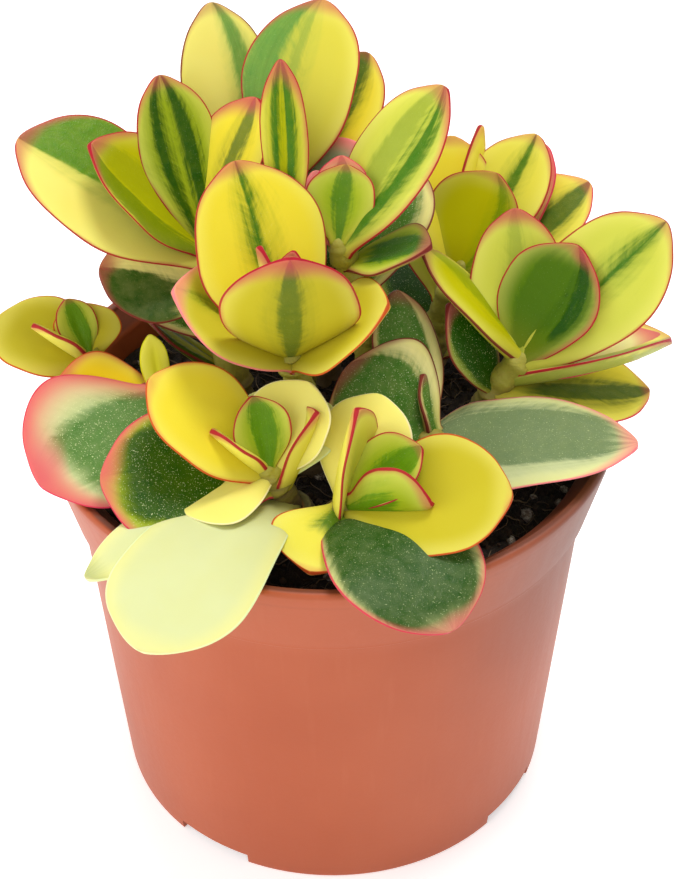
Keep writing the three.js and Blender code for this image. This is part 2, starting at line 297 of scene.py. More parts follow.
def write(name: str, skins: list[Skin], materials: list[bpy.types.Material]) -> bpy.types.Object:
    """Joins skins into one object at the origin.

    Args:
        name: Name of the object.
        skins: Its surfaces.
        materials: Its materials, in the order that the skins number them.

    Returns:
        The object, linked to the scene and smoothly shaded.
    """
    starts = np.cumsum([0] + [len(skin.points) for skin in skins[:-1]])
    points = np.concatenate([skin.points for skin in skins])
    faces = np.concatenate([skin.faces + start for skin, start in zip(skins, starts)])
    finishes = np.concatenate([np.full(len(skin.faces), skin.finish) for skin in skins])
    is_fan = faces[:, 2] == faces[:, 3]
    corner_is_used = np.ones(faces.shape, bool)
    corner_is_used[is_fan, 3] = False
    sizes = corner_is_used.sum(axis=1)

    mesh = bpy.data.meshes.new(name)
    mesh.vertices.add(len(points))
    mesh.vertices.foreach_set("co", (points * MM).astype(np.float32).ravel())
    mesh.loops.add(int(sizes.sum()))
    mesh.loops.foreach_set("vertex_index", faces[corner_is_used].astype(np.int32))
    mesh.polygons.add(len(faces))
    mesh.polygons.foreach_set("loop_start", (np.cumsum(sizes) - sizes).astype(np.int32))
    mesh.polygons.foreach_set("material_index", finishes.astype(np.int32))
    mesh.polygons.foreach_set("use_smooth", np.ones(len(faces), bool))
    for key in sorted({key for skin in skins for key in skin.values}):
        width = max(skin.values[key].shape[1] for skin in skins if key in skin.values)
        parts = [skin.values.get(key, np.zeros((len(skin.points), width))) for skin in skins]
        kind, entry = ("FLOAT_VECTOR", "vector") if width == 3 else ("FLOAT", "value")
        attribute = mesh.attributes.new(key, kind, "POINT")
        attribute.data.foreach_set(entry, np.concatenate(parts).astype(np.float32).ravel())
    for material in materials:
        mesh.materials.append(material)
    mesh.update(calc_edges=True)
    mesh.validate()
    thing = bpy.data.objects.new(name, mesh)
    bpy.context.scene.collection.objects.link(thing)
    LOG.info("%s: %d points, %d faces", name, len(points), len(faces))
    return thing


@dataclass(frozen=True)
class Band:
    """A green band that runs along a leaf.

    Attributes:
        place: Its middle, from -1 at the left margin to 1 at the right, seen with the tip up.
        half: Half its width, in the same measure.
        strength: Share of green in it.
        start: Where it starts, as a share of the leaf's length.
        stop: Where it stops.
        feather: How far its edges are drawn out into streaks.
    """

    place: float
    half: float
    strength: float = 1.0
    start: float = -0.3
    stop: float = 1.3
    feather: float = 0.1


NO_BAND = Band(0.0, 0.0, 0.0)


@dataclass(frozen=True)
class Look:
    """How one leaf is coloured.

    Attributes:
        ground: Colour between the bands.
        first: The main green band.
        second: Another band.
        green: Colour of the bands.
        margin: Colour of the outline.
        blush: Width of the blush inside the left margin, the right margin and the tip, in mm.
        speckle: Share of white specks.
        wax: Share of grey bloom.
    """

    ground: Tone = Tone.YELLOW
    first: Band = NO_BAND
    second: Band = NO_BAND
    green: Tone = Tone.GREEN
    margin: Tone = Tone.CRIMSON
    blush: tuple[float, float, float] = (0.8, 0.8, 1.5)
    speckle: float = 0.15
    wax: float = 0.0


@dataclass
class Leaf:
    """A thick spoon-shaped leaf.

    Attributes:
        down: Distance of its root below the top of its branch.
        heading: Direction from +X towards +Y, in degrees.
        rise: Angle above level, in degrees.
        roll: Turn of the blade about its length, in degrees.
        length: Root to tip.
        width: Broadest width.
        bend: Curl from root to tip, in degrees.
        cup: How far the margins stand up, as a share of the half width.
        widest: Where along the blade it is broadest.
        look: Its colours.
    """

    down: float
    heading: float
    rise: float
    roll: float
    length: float
    width: float
    bend: float = 0.0
    cup: float = 0.1
    widest: float = 0.6
    look: Look = Look()


@dataclass(frozen=True)
class Blade:
    """Sizes that every leaf shares.

    Attributes:
        thickness: Thickness of the middle of a long leaf.
        edge: Thickness at the margins.
        petiole_share: Width of the root as a share of the broadest width.
        taper: Share of the thickness that is lost towards the tip.
        wave: Height of the slow wave of the margins.
        wobble: How far the margins swing in and out, as a share of the half width.
        groove: Depth of the groove along the upper face.
        groove_half: Half the groove's width, as a share of the half width.
        point: How far the tip of a leaf of full length is drawn out.
        point_start: Where along the leaf the tip begins to draw out.
        full_length: Length of a large leaf.
        rings: Rings from root to tip.
        around: Points round a ring.
    """

    thickness: float = 3.8
    edge: float = 0.36
    petiole_share: float = 0.28
    taper: float = 0.55
    wave: float = 0.35
    wobble: float = 0.035
    groove: float = 0.3
    groove_half: float = 0.12
    point: float = 1.1
    point_start: float = 0.93
    full_length: float = 40.0
    rings: int = 54
    around: int = 48

    def outline(self, along: np.ndarray, widest: float) -> np.ndarray:
        """Share of the full width: a sine to the power 0.8, then (1 - beyond^2.2)^0.52 to a round end.

        Args:
            along: Shares of the length.
            widest: Where the blade is broadest.

        Returns:
            Shares of the width.
        """
        swell = np.sin(0.5 * np.pi * np.minimum(along / widest, 1)) ** 0.8
        beyond = np.clip((along - widest) / (1 - widest), 0, 1)
        return np.where(along < widest, swell, (1 - beyond**2.2) ** 0.52)

    def skin(self, leaf: Leaf, root: np.ndarray, seed: float) -> Skin:
        """Builds one leaf.

        The midline is an arc from the root, with its tip `length` away. A ring round it at the share v
        of the length has the half width of the outline, and at the place u = cos(turn) across it the two
        faces stand a lens apart: edge / 2 + (thickness - edge) / 2 * (1 - |u|^3), rounded off at the
        rim. Cup lifts the margins by cup * half * u^2, and a slow wave moves them up and down. The value
        rim_mm is the distance to the nearest margin or the tip, blended so that it has no crease.

        Args:
            leaf: Its sizes and colours.
            root: Where it leaves the branch.
            seed: A number that sets its own waves and streaks.

        Returns:
            The leaf's skin with the values that its finish reads.
        """
        heading, rise, roll = np.radians([leaf.heading, leaf.rise, leaf.roll])
        forward = np.array([np.cos(rise) * np.cos(heading), np.cos(rise) * np.sin(heading), np.sin(rise)])
        level = np.array([np.sin(heading), -np.cos(heading), 0.0])
        face = np.cross(level, forward) * np.cos(roll) + level * np.sin(roll)
        across = np.cross(forward, face)
        bend = np.radians(leaf.bend or 1e-3)
        arc = leaf.length / (2 * np.sin(bend / 2))

        steps = np.linspace(0, 1, self.rings)
        along = (1 - (1 - steps) ** 1.7)[:, None]
        turn = (2 * np.pi * (np.arange(self.around) + 0.5) / self.around)[None, :]
        u = np.cos(turn)
        side = np.sign(np.sin(turn))
        angle = (along - 0.5) * bend
        half = np.hypot(
            0.5 * leaf.width * self.outline(along, leaf.widest),
            0.5 * leaf.width * self.petiole_share * (1 - along) ** 3,
        )
        swing = np.sin(2 * np.pi * (1.4 * along + seed)) * np.sign(u) * np.sin(np.pi * along)
        wobble = 1 + self.wobble * swing
        stout = min(1, 0.55 + 0.5 * leaf.length / self.full_length)
        tall = self.thickness * stout * (1 - self.taper * along**2)
        lens = self.edge / 2 + (tall - self.edge) / 2 * (1 - np.abs(u) ** 3)
        lens = np.minimum(lens, np.maximum(half, self.edge / 4)) * np.sqrt(1 - np.abs(u) ** 24)
        hollow = np.exp(-((u / self.groove_half) ** 2)) * np.sin(np.pi * np.minimum(along * 1.15, 1))
        groove = self.groove * hollow * (side > 0)
        slow = np.sin(2 * np.pi * (1.1 * along + 1.7 * seed)) * np.sin(np.pi * along) ** 0.5
        lift = leaf.cup * half * u**2 + side * lens - groove + self.wave * u**2 * slow
        point = self.point * leaf.length / self.full_length
        reach = point * np.clip((along - self.point_start) / (1 - self.point_start), 0, 1) ** 3

        distance = arc * (np.sin(angle) + np.sin(bend / 2)) - point * along + reach
        sag = arc * (np.cos(bend / 2) - np.cos(angle))
        out = face * np.cos(angle)[..., None] - forward * np.sin(angle)[..., None]
        points = (
            root
            + forward * distance[..., None]
            + face * sag[..., None]
            + across * (half * wobble * u)[..., None]
            + out * lift[..., None]
        )

        grid = np.ones((self.rings, self.around))
        to_side = np.maximum(np.hypot(half * (1 - np.abs(u)), lens), 1e-3)
        to_tip = np.maximum(np.hypot(leaf.length * (1 - along), lens), 1e-3) * grid
        rim = (to_side**-3 + to_tip**-3) ** (-1 / 3)
        look = leaf.look
        values = {
            "across": u * grid,
            "along": along * grid,
            "rim_mm": rim,
            "ground_tone": grid[..., None] * np.array(look.ground.value),
            "green_tone": grid[..., None] * np.array(look.green.value),
            "margin_tone": grid[..., None] * np.array(look.margin.value),
            "blush_mm": grid[..., None] * np.array(look.blush),
            "coat": grid[..., None] * np.array([look.speckle, look.wax, seed]),
        }
        for key, band in (("first", look.first), ("second", look.second)):
            values[f"{key}_band"] = grid[..., None] * np.array([band.place, band.half, band.strength])
            values[f"{key}_run"] = grid[..., None] * np.array([band.start, band.stop, band.feather])
        return tube(points, values)


@dataclass
class Branch:
    """A bowed branch from its foot in the soil to its top, with its leaves.

    Attributes:
        foot: Where it stands, across and back.
        top: Its upper end.
        foot_radius: Thickness at the foot.
        top_radius: Thickness at the top.
        lean: How far it rises before it leans over, as a share of its height.
        is_cut: Whether it ends in a flat cut.
        leaves: Its leaves.
        foot_z: Height of the foot, inside the soil.
        swelling: How far it swells at a leaf.
        rings: Rings from foot to top.
        around: Points round a ring.
    """

    foot: tuple[float, float]
    top: tuple[float, float, float]
    foot_radius: float
    top_radius: float
    lean: float = 0.6
    is_cut: bool = False
    leaves: list[Leaf] = field(default_factory=list)
    foot_z: float = 76.0
    swelling: float = 0.45
    rings: int = 60
    around: int = 24

    def curve(self, share: np.ndarray) -> np.ndarray:
        """Points of the middle line, (1-t)^2 foot + 2t(1-t) bow + t^2 top."""
        start, bow, end = self.corners()
        t = share[:, None]
        return (1 - t) ** 2 * start + 2 * t * (1 - t) * bow + t**2 * end

    def corners(self) -> tuple[np.ndarray, np.ndarray, np.ndarray]:
        """The curve's foot, the corner that it leans towards, and its top."""
        start = np.array([*self.foot, self.foot_z])
        end = np.array(self.top, float)
        bow = np.array([*self.foot, self.foot_z + self.lean * (end[2] - self.foot_z)])
        return start, bow, end

    def tangent(self, share: np.ndarray) -> np.ndarray:
        """Directions of the middle line."""
        start, bow, end = self.corners()
        t = share[:, None]
        slope = 2 * (1 - t) * (bow - start) + 2 * t * (end - bow)
        return slope / np.linalg.norm(slope, axis=1, keepdims=True)

    def at(self, down: float) -> np.ndarray:
        """The point `down` mm below the top along the branch, or beyond its top where that is negative."""
        shares = np.linspace(0, 1, 201)
        points = self.curve(shares)
        lengths = np.concatenate([[0], np.cumsum(np.linalg.norm(np.diff(points, axis=0), axis=1))])
        wanted = np.interp(np.clip(lengths[-1] - down, 0, lengths[-1]), lengths, shares)
        return self.curve(np.array([wanted]))[0] + self.tangent(np.array([1.0]))[0] * max(-down, 0)

    def cap(self) -> tuple[np.ndarray, np.ndarray]:
        """Rings that close the top: radii as shares of the top's radius, and heights in mm."""
        if self.is_cut:
            return np.array([1.0, 0.93, 0.86, 0.5, 0.2, 0.02]), np.array([0.0, 0.25, 0.1, -0.15, 0.0, 0.0])
        turns = np.linspace(0.2, 1.55, 6)
        return np.cos(turns), np.sin(turns) * self.top_radius

    def skin(self) -> Skin:
        """Builds the branch, with a swollen ring at every leaf and a rounded or cut end.

        The radius runs from foot to top and swells by swelling * exp(-(distance / 1 mm)^2) at a leaf.
        Two low sines along it and two round it keep it from looking turned.

        Returns:
            The branch's skin, with its age from 0 in the soil to 1 where it is young and green.
        """
        shares = np.linspace(0, 1, self.rings)
        centre = self.curve(shares)
        tangent = self.tangent(shares)
        side = np.cross([1.0, 0.0, 0.0], tangent)
        side /= np.linalg.norm(side, axis=1, keepdims=True)
        other = np.cross(tangent, side)
        step = np.linalg.norm(np.diff(centre, axis=0), axis=1)
        below_top = np.concatenate([np.cumsum(step[::-1])[::-1], [0]])
        radius = self.foot_radius + (self.top_radius - self.foot_radius) * shares
        for leaf in self.leaves:
            radius = radius + self.swelling * np.exp(-((below_top - leaf.down) ** 2))
        radius = radius + 0.15 * np.sin(below_top * 1.9) + 0.1 * np.sin(below_top * 4.3 + 1)

        ends, rises = self.cap()
        cap_centre = centre[-1] + tangent[-1] * rises[:, None]
        centre = np.concatenate([centre, cap_centre])
        side = np.concatenate([side, np.repeat(side[-1:], len(ends), axis=0)])
        other = np.concatenate([other, np.repeat(other[-1:], len(ends), axis=0)])
        radius = np.concatenate([radius, ends * self.top_radius])
        turn = 2 * np.pi * np.arange(self.around) / self.around
        ridge = 1 + 0.03 * np.sin(5 * turn)[None, :] + 0.02 * np.sin(9 * turn + 1)[None, :]
        rings = (
            centre[:, None, :]
            + side[:, None, :] * (radius[:, None] * ridge * np.cos(turn))[..., None]
            + other[:, None, :] * (radius[:, None] * ridge * np.sin(turn))[..., None]
        )
        height = rings[..., 2]
        grid = np.ones_like(height)
        cut = np.concatenate([np.zeros(self.rings), np.full(len(ends), 1.0 if self.is_cut else 0.0)])
        from_axis = np.concatenate([np.full(self.rings, self.top_radius), ends * self.top_radius])
        values = {
            "age": np.clip((height - YOUNG_FROM) / YOUNG_OVER, 0, 1),
            "cut_face": grid * cut[:, None],
            "from_axis": grid * from_axis[:, None],
        }
        return tube(rings, values, finish=1)


@dataclass(frozen=True)
class LeafFinish:
    """Variegated leaf skin, coloured by the values that each leaf holds.

    Attributes:
        name: Name of the finish.
        matt: Roughness of the yellow parts.
        sheen: Roughness of the green parts.
        depth: How deep light goes into the flesh, in metres.
    """

    name: str
    matt: float = 0.46
    sheen: float = 0.3
    depth: float = 0.0025

    def band(
        self,
        graph: Graph,
        key: str,
        across: Socket,
        along: Socket,
        streak: Socket,
        fine: Socket,
        barb: Socket,
    ) -> tuple[Socket, Socket]:
        """Works out one green band.

        The distance past its edge is |across + streaks - place| - half. Its body falls from 1 to 0 over a
        short way about that edge and its haze over a longer one, and both fade in and out along the leaf.

        Args:
            graph: The material's nodes.
            key: Which of the leaf's two bands.
            across: Place from margin to margin.
            along: Place from root to tip.
            streak: Long soft streaks.
            fine: Narrow streaks.
            barb: Short marks along the side veins.

        Returns:
            The share of green in the body, and in the haze round it.
        """
        place, half, strength = graph.split(graph.attribute(f"{key}_band", "Vector"))
        start, stop, feather = graph.split(graph.attribute(f"{key}_run", "Vector"))
        sway = graph.plus(
            graph.minus(streak, 0.5),
            graph.times(graph.minus(fine, 0.5), 0.15),
        )
        moved = graph.plus(across, graph.times(sway, graph.times(feather, 5.0)))
        past = graph.minus(graph.math("ABSOLUTE", graph.minus(moved, place)), half)
        past = graph.shifted(past, barb, 0.22)
        ragged = graph.plus(along, graph.times(sway, graph.times(feather, 3.0)))
        begun = graph.rise(ragged, graph.minus(start, 0.1), graph.plus(start, 0.1))
        ended = graph.fall(ragged, graph.minus(stop, 0.1), graph.plus(stop, 0.1))
        run = graph.times(graph.times(begun, ended), strength)
        body = graph.times(graph.fall(past, -0.1, 0.09), run)
        haze = graph.times(graph.fall(past, -0.05, 0.36), run)
        return body, haze

    def material(self) -> bpy.types.Material:
        """Builds the material.

        Returns:
            A waxy leaf skin with bands, haze, blush, outline, specks and bloom.
        """
        graph = Graph(self.name)
        across = graph.attribute("across")
        along = graph.attribute("along")
        rim = graph.attribute("rim_mm")
        ground = graph.attribute("ground_tone", "Vector")
        green = graph.attribute("green_tone", "Vector")
        margin = graph.attribute("margin_tone", "Vector")
        speckle, wax, seed = graph.split(graph.attribute("coat", "Vector"))
        blush_left, blush_right, blush_tip = graph.split(graph.attribute("blush_mm", "Vector"))
        place = graph.place()

        # Patterns: each leaf has its own streaks, because its seed moves it through the noise
        own = graph.times(seed, 37.0)
        sheet = graph.join(graph.times(across, 2.2), graph.times(along, 0.55), own)
        streak = graph.noise(sheet, 2.4, 3.0, 0.55)
        narrow_sheet = graph.join(graph.times(across, 9.0), graph.times(along, 0.7), own)
        fine = graph.noise(narrow_sheet, 2.6, 3.0, 0.6)
        vein = graph.minus(along, graph.times(graph.math("ABSOLUTE", across), 0.3))
        vein_sheet = graph.join(graph.times(vein, 9.0), graph.times(across, 1.2), own)
        barb = graph.noise(vein_sheet, 2.4, 3.0, 0.6)
        cloud = graph.noise(place, 90.0, 2.0, 0.5)
        mottle = graph.noise(place, 420.0, 4.0, 0.6)
        grain = graph.noise(place, 3600.0, 2.0, 0.6)

        body_one, haze_one = self.band(graph, "first", across, along, streak, fine, barb)
        body_two, haze_two = self.band(graph, "second", across, along, streak, fine, barb)
        body = graph.math("MAXIMUM", body_one, body_two)
        haze = graph.math("MAXIMUM", haze_one, haze_two)

        # Flesh: the ground, paler at the margins and darker olive at the root as painted shade, then the
        # green bands
        warm = graph.colour(graph.times(cloud, 0.5), ground, rgba((0.92, 0.84, 0.4)), "MULTIPLY")
        pale = graph.times(graph.fall(rim, 0.0, 4.5), 0.35)
        warm = graph.colour(pale, warm, rgba(Tone.LIGHT.value))
        # Painted shade: darker olive over the lower part of each leaf, where the leaves crowd together
        base = graph.times(graph.fall(along, 0.0, 0.45), 0.45)
        warm = graph.colour(base, warm, rgba(Tone.ROOT_SHADE.value))
        flesh = graph.colour(graph.times(haze, 0.38), warm, green)
        shade = graph.colour(graph.times(fine, 0.55), green, rgba(Tone.DEEP_GREEN.value))
        flesh = graph.colour(graph.times(body, graph.between(mottle, 0.72, 1.08)), flesh, shade)

        # Grey bloom and white specks
        patchy = graph.times(wax, graph.between(mottle, 0.3, 1.0))
        bloom = graph.times(patchy, graph.between(cloud, 0.4, 1.0))
        flesh = graph.colour(bloom, flesh, rgba(Tone.GLAUCOUS.value))
        dotted = graph.rise(graph.plus(grain, graph.times(speckle, 0.04)), 0.65, 0.73)
        dots = graph.times(graph.times(dotted, speckle), graph.between(haze, 0.25, 1.0))
        flesh = graph.colour(dots, flesh, rgba(Tone.PALE.value))

        # Red blush inside the margins, and the thin outline
        side_width = graph.between(graph.rise(across, -0.3, 0.3), blush_left, blush_right)
        width = graph.plus(side_width, graph.times(graph.rise(along, 0.7, 1.0), blush_tip))
        uneven = graph.shifted(rim, cloud, 1.6)
        full = graph.between(graph.rise(width, 1.0, 5.0), 0.66, 0.95)
        blush_share = graph.times(graph.fall(graph.math("DIVIDE", uneven, width), -0.1, 1.0), full)
        flesh = graph.colour(blush_share, flesh, graph.colour(0.28, margin, rgba(Tone.PINK.value)))
        outline = graph.fall(graph.shifted(rim, mottle, 0.2), 0.32, 0.5)
        flesh = graph.colour(graph.times(outline, 0.92), flesh, margin)

        # The green parts are glossier and more pitted than the yellow ones
        gloss = graph.between(body, self.matt, self.sheen)
        roughness = graph.shifted(gloss, mottle, 0.16)
        pits = graph.times(graph.plus(mottle, graph.times(grain, 0.4)), graph.between(body, 0.15, 1.0))
        return graph.finish(
            Base_Color=flesh,
            Roughness=roughness,
            Normal=graph.bump(pits, 0.00035, 0.55),
            IOR=1.42,
            Specular_IOR_Level=0.08,
            Coat_Weight=graph.times(body, 0.15),
            Coat_Roughness=0.14,
            Coat_Normal=graph.bump(pits, 0.0005, 0.7),
            Subsurface_Weight=0.15,
            Subsurface_Radius=(1.0, 0.8, 0.25),
            Subsurface_Scale=self.depth,
        )


@dataclass(frozen=True)
class StemFinish:
    """Fleshy stem: brown and corky below, olive green above, with a ringed cut."""

    name: str = "stem_bark"

    def material(self) -> bpy.types.Material:
        """Builds the material.

        Returns:
            Bark that turns into green skin with height.
        """
        graph = Graph(self.name)
        age = graph.attribute("age")
        cut = graph.attribute("cut_face")
        from_axis = graph.attribute("from_axis")
        place = graph.place()
        x, y, z = graph.split(place)
        layers = graph.join(graph.times(x, 0.15), graph.times(y, 0.15), z)
        rings = graph.noise(layers, 900.0, 3.0, 0.6)
        flecks = graph.noise(place, 700.0, 4.0, 0.65)
        bark = graph.colour(flecks, rgba(srgb(92, 78, 52)), rgba(srgb(128, 104, 74)))
        young = graph.colour(flecks, rgba(srgb(168, 164, 44)), rgba(srgb(150, 136, 52)))
        skin = graph.colour(graph.rise(graph.shifted(age, rings, 0.5), 0.1, 0.6), bark, young)
        ringed = graph.math("SINE", graph.times(from_axis, 5.2))
        pith, sapwood, rind = rgba(srgb(58, 36, 20)), rgba(srgb(140, 98, 56)), rgba(srgb(122, 116, 66))
        wood = graph.colour(graph.rise(ringed, -0.6, 0.9), pith, sapwood)
        wood = graph.colour(graph.rise(from_axis, 2.4, 3.4), wood, rind)
        return graph.finish(
            Base_Color=graph.colour(cut, skin, wood),
            Roughness=graph.between(flecks, 0.5, 0.75),
            Normal=graph.bump(graph.plus(rings, flecks), 0.0006, 0.5),
            Subsurface_Weight=0.05,
            Subsurface_Scale=0.001,
        )


@dataclass
class Stem:
    """One stem of the plant: a CAD node's branches with their leaves.

    Attributes:
        node: The CAD node that it stands for.
        slot: The record's material slot of its leaves.
        branches: Its branches.
    """

    node: str
    slot: str
    branches: list[Branch]

    def build(
        self, leaf_skin: bpy.types.Material, bark: bpy.types.Material, blade: Blade
    ) -> bpy.types.Object:
        """Builds and dresses the stem.

        Args:
            leaf_skin: Material of the leaves.
            bark: Material of the branches.
            blade: Sizes that every leaf shares.

        Returns:
            The stem's object.
        """
        skins = []
        for branch in self.branches:
            skins.append(branch.skin())
            for leaf in branch.leaves:
                seed = (leaf.heading * 0.137 + leaf.rise * 0.071 + leaf.length * 0.31) % 1
                skins.append(blade.skin(leaf, branch.at(leaf.down), seed))
        thing = write(f"{self.node}_dressed", skins, [leaf_skin, bark])
        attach(thing, "root")
        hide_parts(self.node)
        return thing


# Colours of single leaves, seen with the tip up
HALF_GREEN = Look(
    Tone.LIGHT, Band(0.8, 0.8, 1.0, 0.1), Band(0.15, 0.12, 0.5, -0.3, 0.75), Tone.LEAF_GREEN,
    blush=(1, 1, 2.5),
)
OLIVE_CUP = Look(
    Tone.OLIVE, Band(-0.6, 0.3, 0.7, feather=0.2), Band(0.1, 0.3, 0.3, 0.1), Tone.MOSS,
    blush=(0.6, 1.4, 3),
)
DARK_LEFT = Look(
    Tone.CREAM, Band(-0.55, 0.62, 1.0, 0.3),
    green=Tone.DEEP_GREEN, margin=Tone.BROWN, blush=(1, 4, 2),
)
TWO_STRIPES = Look(Tone.LIME, Band(-0.42, 0.18), Band(0.25, 0.2), Tone.DEEP_GREEN, blush=(1, 0.7, 2))
GREY_STRIPE = Look(Tone.YELLOW, Band(0.1, 0.2, 0.8), green=Tone.BLUE_GREEN, blush=(3, 0.8, 3))
RIGHT_STRIPE = Look(
    Tone.LIGHT, Band(0.4, 0.18, 0.95, feather=0.04),
    green=Tone.FRESH_GREEN, margin=Tone.BROWN, blush=(0.5, 0.7, 1.5),
)
LARGE_UPRIGHT = Look(
    Tone.HONEY, Band(-0.72, 0.3, feather=0.05), Band(-0.2, 0.12, 0.5), Tone.FRESH_GREEN,
    blush=(1, 1, 1.8),
)
GREY_LEFT = Look(Tone.YELLOW, Band(-0.25, 0.62, 0.95), green=Tone.BLUE_GREEN, blush=(1, 1.2, 1))
GREY_LEAF = Look(
    Tone.SAGE, Band(0.6, 0.3, 0.4),
    green=Tone.BLUE_GREEN, margin=Tone.PINK, blush=(4, 1, 3), wax=0.9,
)
NARROW_STRIPED = Look(Tone.OLIVE, Band(-0.35, 0.15), Band(0.25, 0.22), Tone.GREEN, blush=(0.8, 1.6, 3))
STREAKED = Look(
    Tone.SPRING, Band(0.42, 0.19, 1.0, 0.1), Band(-0.15, 0.26, 0.42, 0.1), Tone.GREEN,
    blush=(0.6, 1.8, 2.5),
)
GREEN_MIDDLE = Look(Tone.LIME, Band(0.0, 0.25, 0.8), blush=(0.8, 0.8, 1.5))
CREAM_STRIPED = Look(Tone.CREAM, Band(0.0, 0.35, 0.7), margin=Tone.ROSE, blush=(1.5, 1.5, 3))
BLOTCHED = Look(
    Tone.LIME, Band(0.0, 0.5, 1.0, 0.3, 0.95),
    green=Tone.GREEN, margin=Tone.BROWN, blush=(2, 2, 3), speckle=0.4,
)
DOTTED_STRIPE = Look(
    Tone.YELLOW, Band(0.0, 0.11, 1.0, 0.35, feather=0.12),
    blush=(0.8, 0.8, 2.2), speckle=0.3,
)
BROAD_FRONT = Look(Tone.MUSTARD, Band(0.0, 0.15, 0.75), green=Tone.BLUE_GREEN, blush=(1.6, 1.6, 4))
THIN_STRIPE = Look(Tone.MUSTARD, Band(0.05, 0.05, 0.6, 0.35, 0.95), margin=Tone.PINK, blush=(1, 1, 2.5))
PLAIN = Look(Tone.MUSTARD, margin=Tone.ORANGE, blush=(0.4, 0.4, 0.8))
PLAIN_RED = Look(Tone.YELLOW, blush=(0.8, 0.8, 2))
YOUNG = Look(Tone.LIGHT, Band(0.0, 0.2, 0.3), blush=(1.2, 1.2, 3))
OLIVE_STRIPED = Look(Tone.OLIVE, Band(0.5, 0.14, 0.6), green=Tone.LEAF_GREEN, blush=(0.6, 1, 1.5))
MID_STRIPE = Look(Tone.LEMON, Band(0.08, 0.12, 0.95, 0.25), blush=(0.8, 1, 1.8))
PINK_BACKED = Look(Tone.CREAM, margin=Tone.ROSE, blush=(3, 3, 6))
GREEN_CUP = Look(
    Tone.MOSS, Band(0.1, 0.7, 0.3, -0.3, 0.92, 0.1), Band(0.5, 0.16, 1.0, 0.3, feather=0.12),
    Tone.DEEP_GREEN,
    blush=(0.6, 2, 1.6),
)
FEATHERED = Look(Tone.SPRING, Band(0.02, 0.12, 1.0, 0.3, feather=0.1), blush=(0.7, 0.7, 1.4))
PINK_TIP = Look(Tone.CREAM, margin=Tone.ROSE, blush=(2, 2, 8))
TWO_TONE = Look(Tone.LIGHT, Band(0.6, 0.4, 0.5, feather=0.2), blush=(0.6, 0.6, 2))
LOW_STRIPE = Look(
    Tone.LEMON, Band(0.2, 0.3, 0.9, 0.2),
    green=Tone.BLUE_GREEN, margin=Tone.ROSE, blush=(0.8, 0.8, 1.5),
)
OLIVE_PLAIN = Look(Tone.OLIVE, Band(0.5, 0.3, 0.4), margin=Tone.BROWN, blush=(1, 1, 2))
DARK_GREEN = Look(
    Tone.MOSS, Band(0.0, 0.75, 1.0, 0.1),
    green=Tone.DEEP_GREEN, margin=Tone.BROWN, blush=(1, 2, 3), speckle=0.7,
)
SPECKLED = Look(
    Tone.CREAM, Band(-0.1, 0.72, 1.0),
    green=Tone.GREEN, margin=Tone.BROWN, blush=(1.5, 1.5, 2), speckle=0.8,
)
LONG_GREY = Look(
    Tone.CREAM_GREEN, Band(-0.15, 0.66, 0.8, -0.3, 0.97, 0.12),
    green=Tone.BLUE_GREEN, margin=Tone.PINK, blush=(1.2, 0.8, 2.5), speckle=0.6, wax=0.25,
)
ORANGE_EDGED = Look(Tone.YELLOW, margin=Tone.ORANGE, blush=(1.2, 0.8, 1))
GREEN_YOUNG = Look(
    Tone.LIME, Band(0.1, 0.45, 0.9, feather=0.15),
    green=Tone.LEAF_GREEN, blush=(0.6, 0.6, 1.2),
)
LIGHT_PLAIN = Look(Tone.LIGHT, margin=Tone.CREAM, blush=(0.3, 0.3, 0.3))
LIGHT_RED = Look(Tone.LEMON, margin=Tone.CRIMSON, blush=(0.8, 0.8, 1.5))
PALE_PLAIN = Look(Tone.PALE, margin=Tone.PALE, blush=(0.3, 0.3, 0.3))
YELLOW_BLOTCH = Look(
    Tone.LEMON, Band(0.0, 0.3, 0.9, -0.3, 0.45, 0.05),
    margin=Tone.ORANGE, blush=(0.5, 0.5, 1), speckle=0.5,
)
OUTER_GREEN = Look(
    Tone.LIME, Band(0.0, 0.6, 0.8, -0.3, 0.6, 0.15),
    green=Tone.LEAF_GREEN, blush=(1, 1, 2),
)
OLD_ROSE = Look(
    Tone.CREAM_GREEN, Band(-0.12, 0.52, 0.92, -0.2, 0.8, 0.05),
    green=Tone.GREEN, margin=Tone.ROSE, blush=(2, 9, 10), speckle=0.9,
)
OLD_PINK = Look(
    Tone.LIME, Band(0.05, 0.74, 1.0, -0.3, 0.9, 0.04),
    green=Tone.DEEP_GREEN, margin=Tone.ROSE, blush=(1.2, 2.5, 3.5), speckle=0.8,
)
PALE_OLD = Look(
    Tone.CREAM_GREEN, Band(0.5, 0.5, 0.15, -0.3, 0.3),
    green=Tone.SAGE, margin=Tone.PALE, blush=(0.5, 0.5, 0.5), speckle=0.2,
)
PALE_DARK_TIP = Look(
    Tone.CREAM_GREEN, Band(0.0, 1.0, 0.8, 1.0, feather=0.02),
    green=Tone.BLUE_GREEN, margin=Tone.PALE, blush=(0.4, 0.4, 0.4),
)
DOTTED_OLD = Look(
    Tone.CREAM_GREEN, Band(0.03, 0.9, 1.0, -0.3, 0.98, 0.03),
    green=Tone.DEEP_GREEN, margin=Tone.ROSE, blush=(1.8, 1.0, 1.6), speckle=0.5,
)
OLIVE_SMALL = Look(Tone.OLIVE, margin=Tone.OLIVE, blush=(0.3, 0.3, 0.5))
OLIVE_EDGED = Look(
    Tone.OLIVE, Band(0.0, 0.08, 0.8), Band(-0.95, 0.25, 1.0), Tone.DEEP_GREEN,
    margin=Tone.BROWN, blush=(0.5, 0.5, 1),
)
ORANGE_CRESCENT = Look(Tone.GOLD, margin=Tone.ORANGE, blush=(1, 2.5, 3))


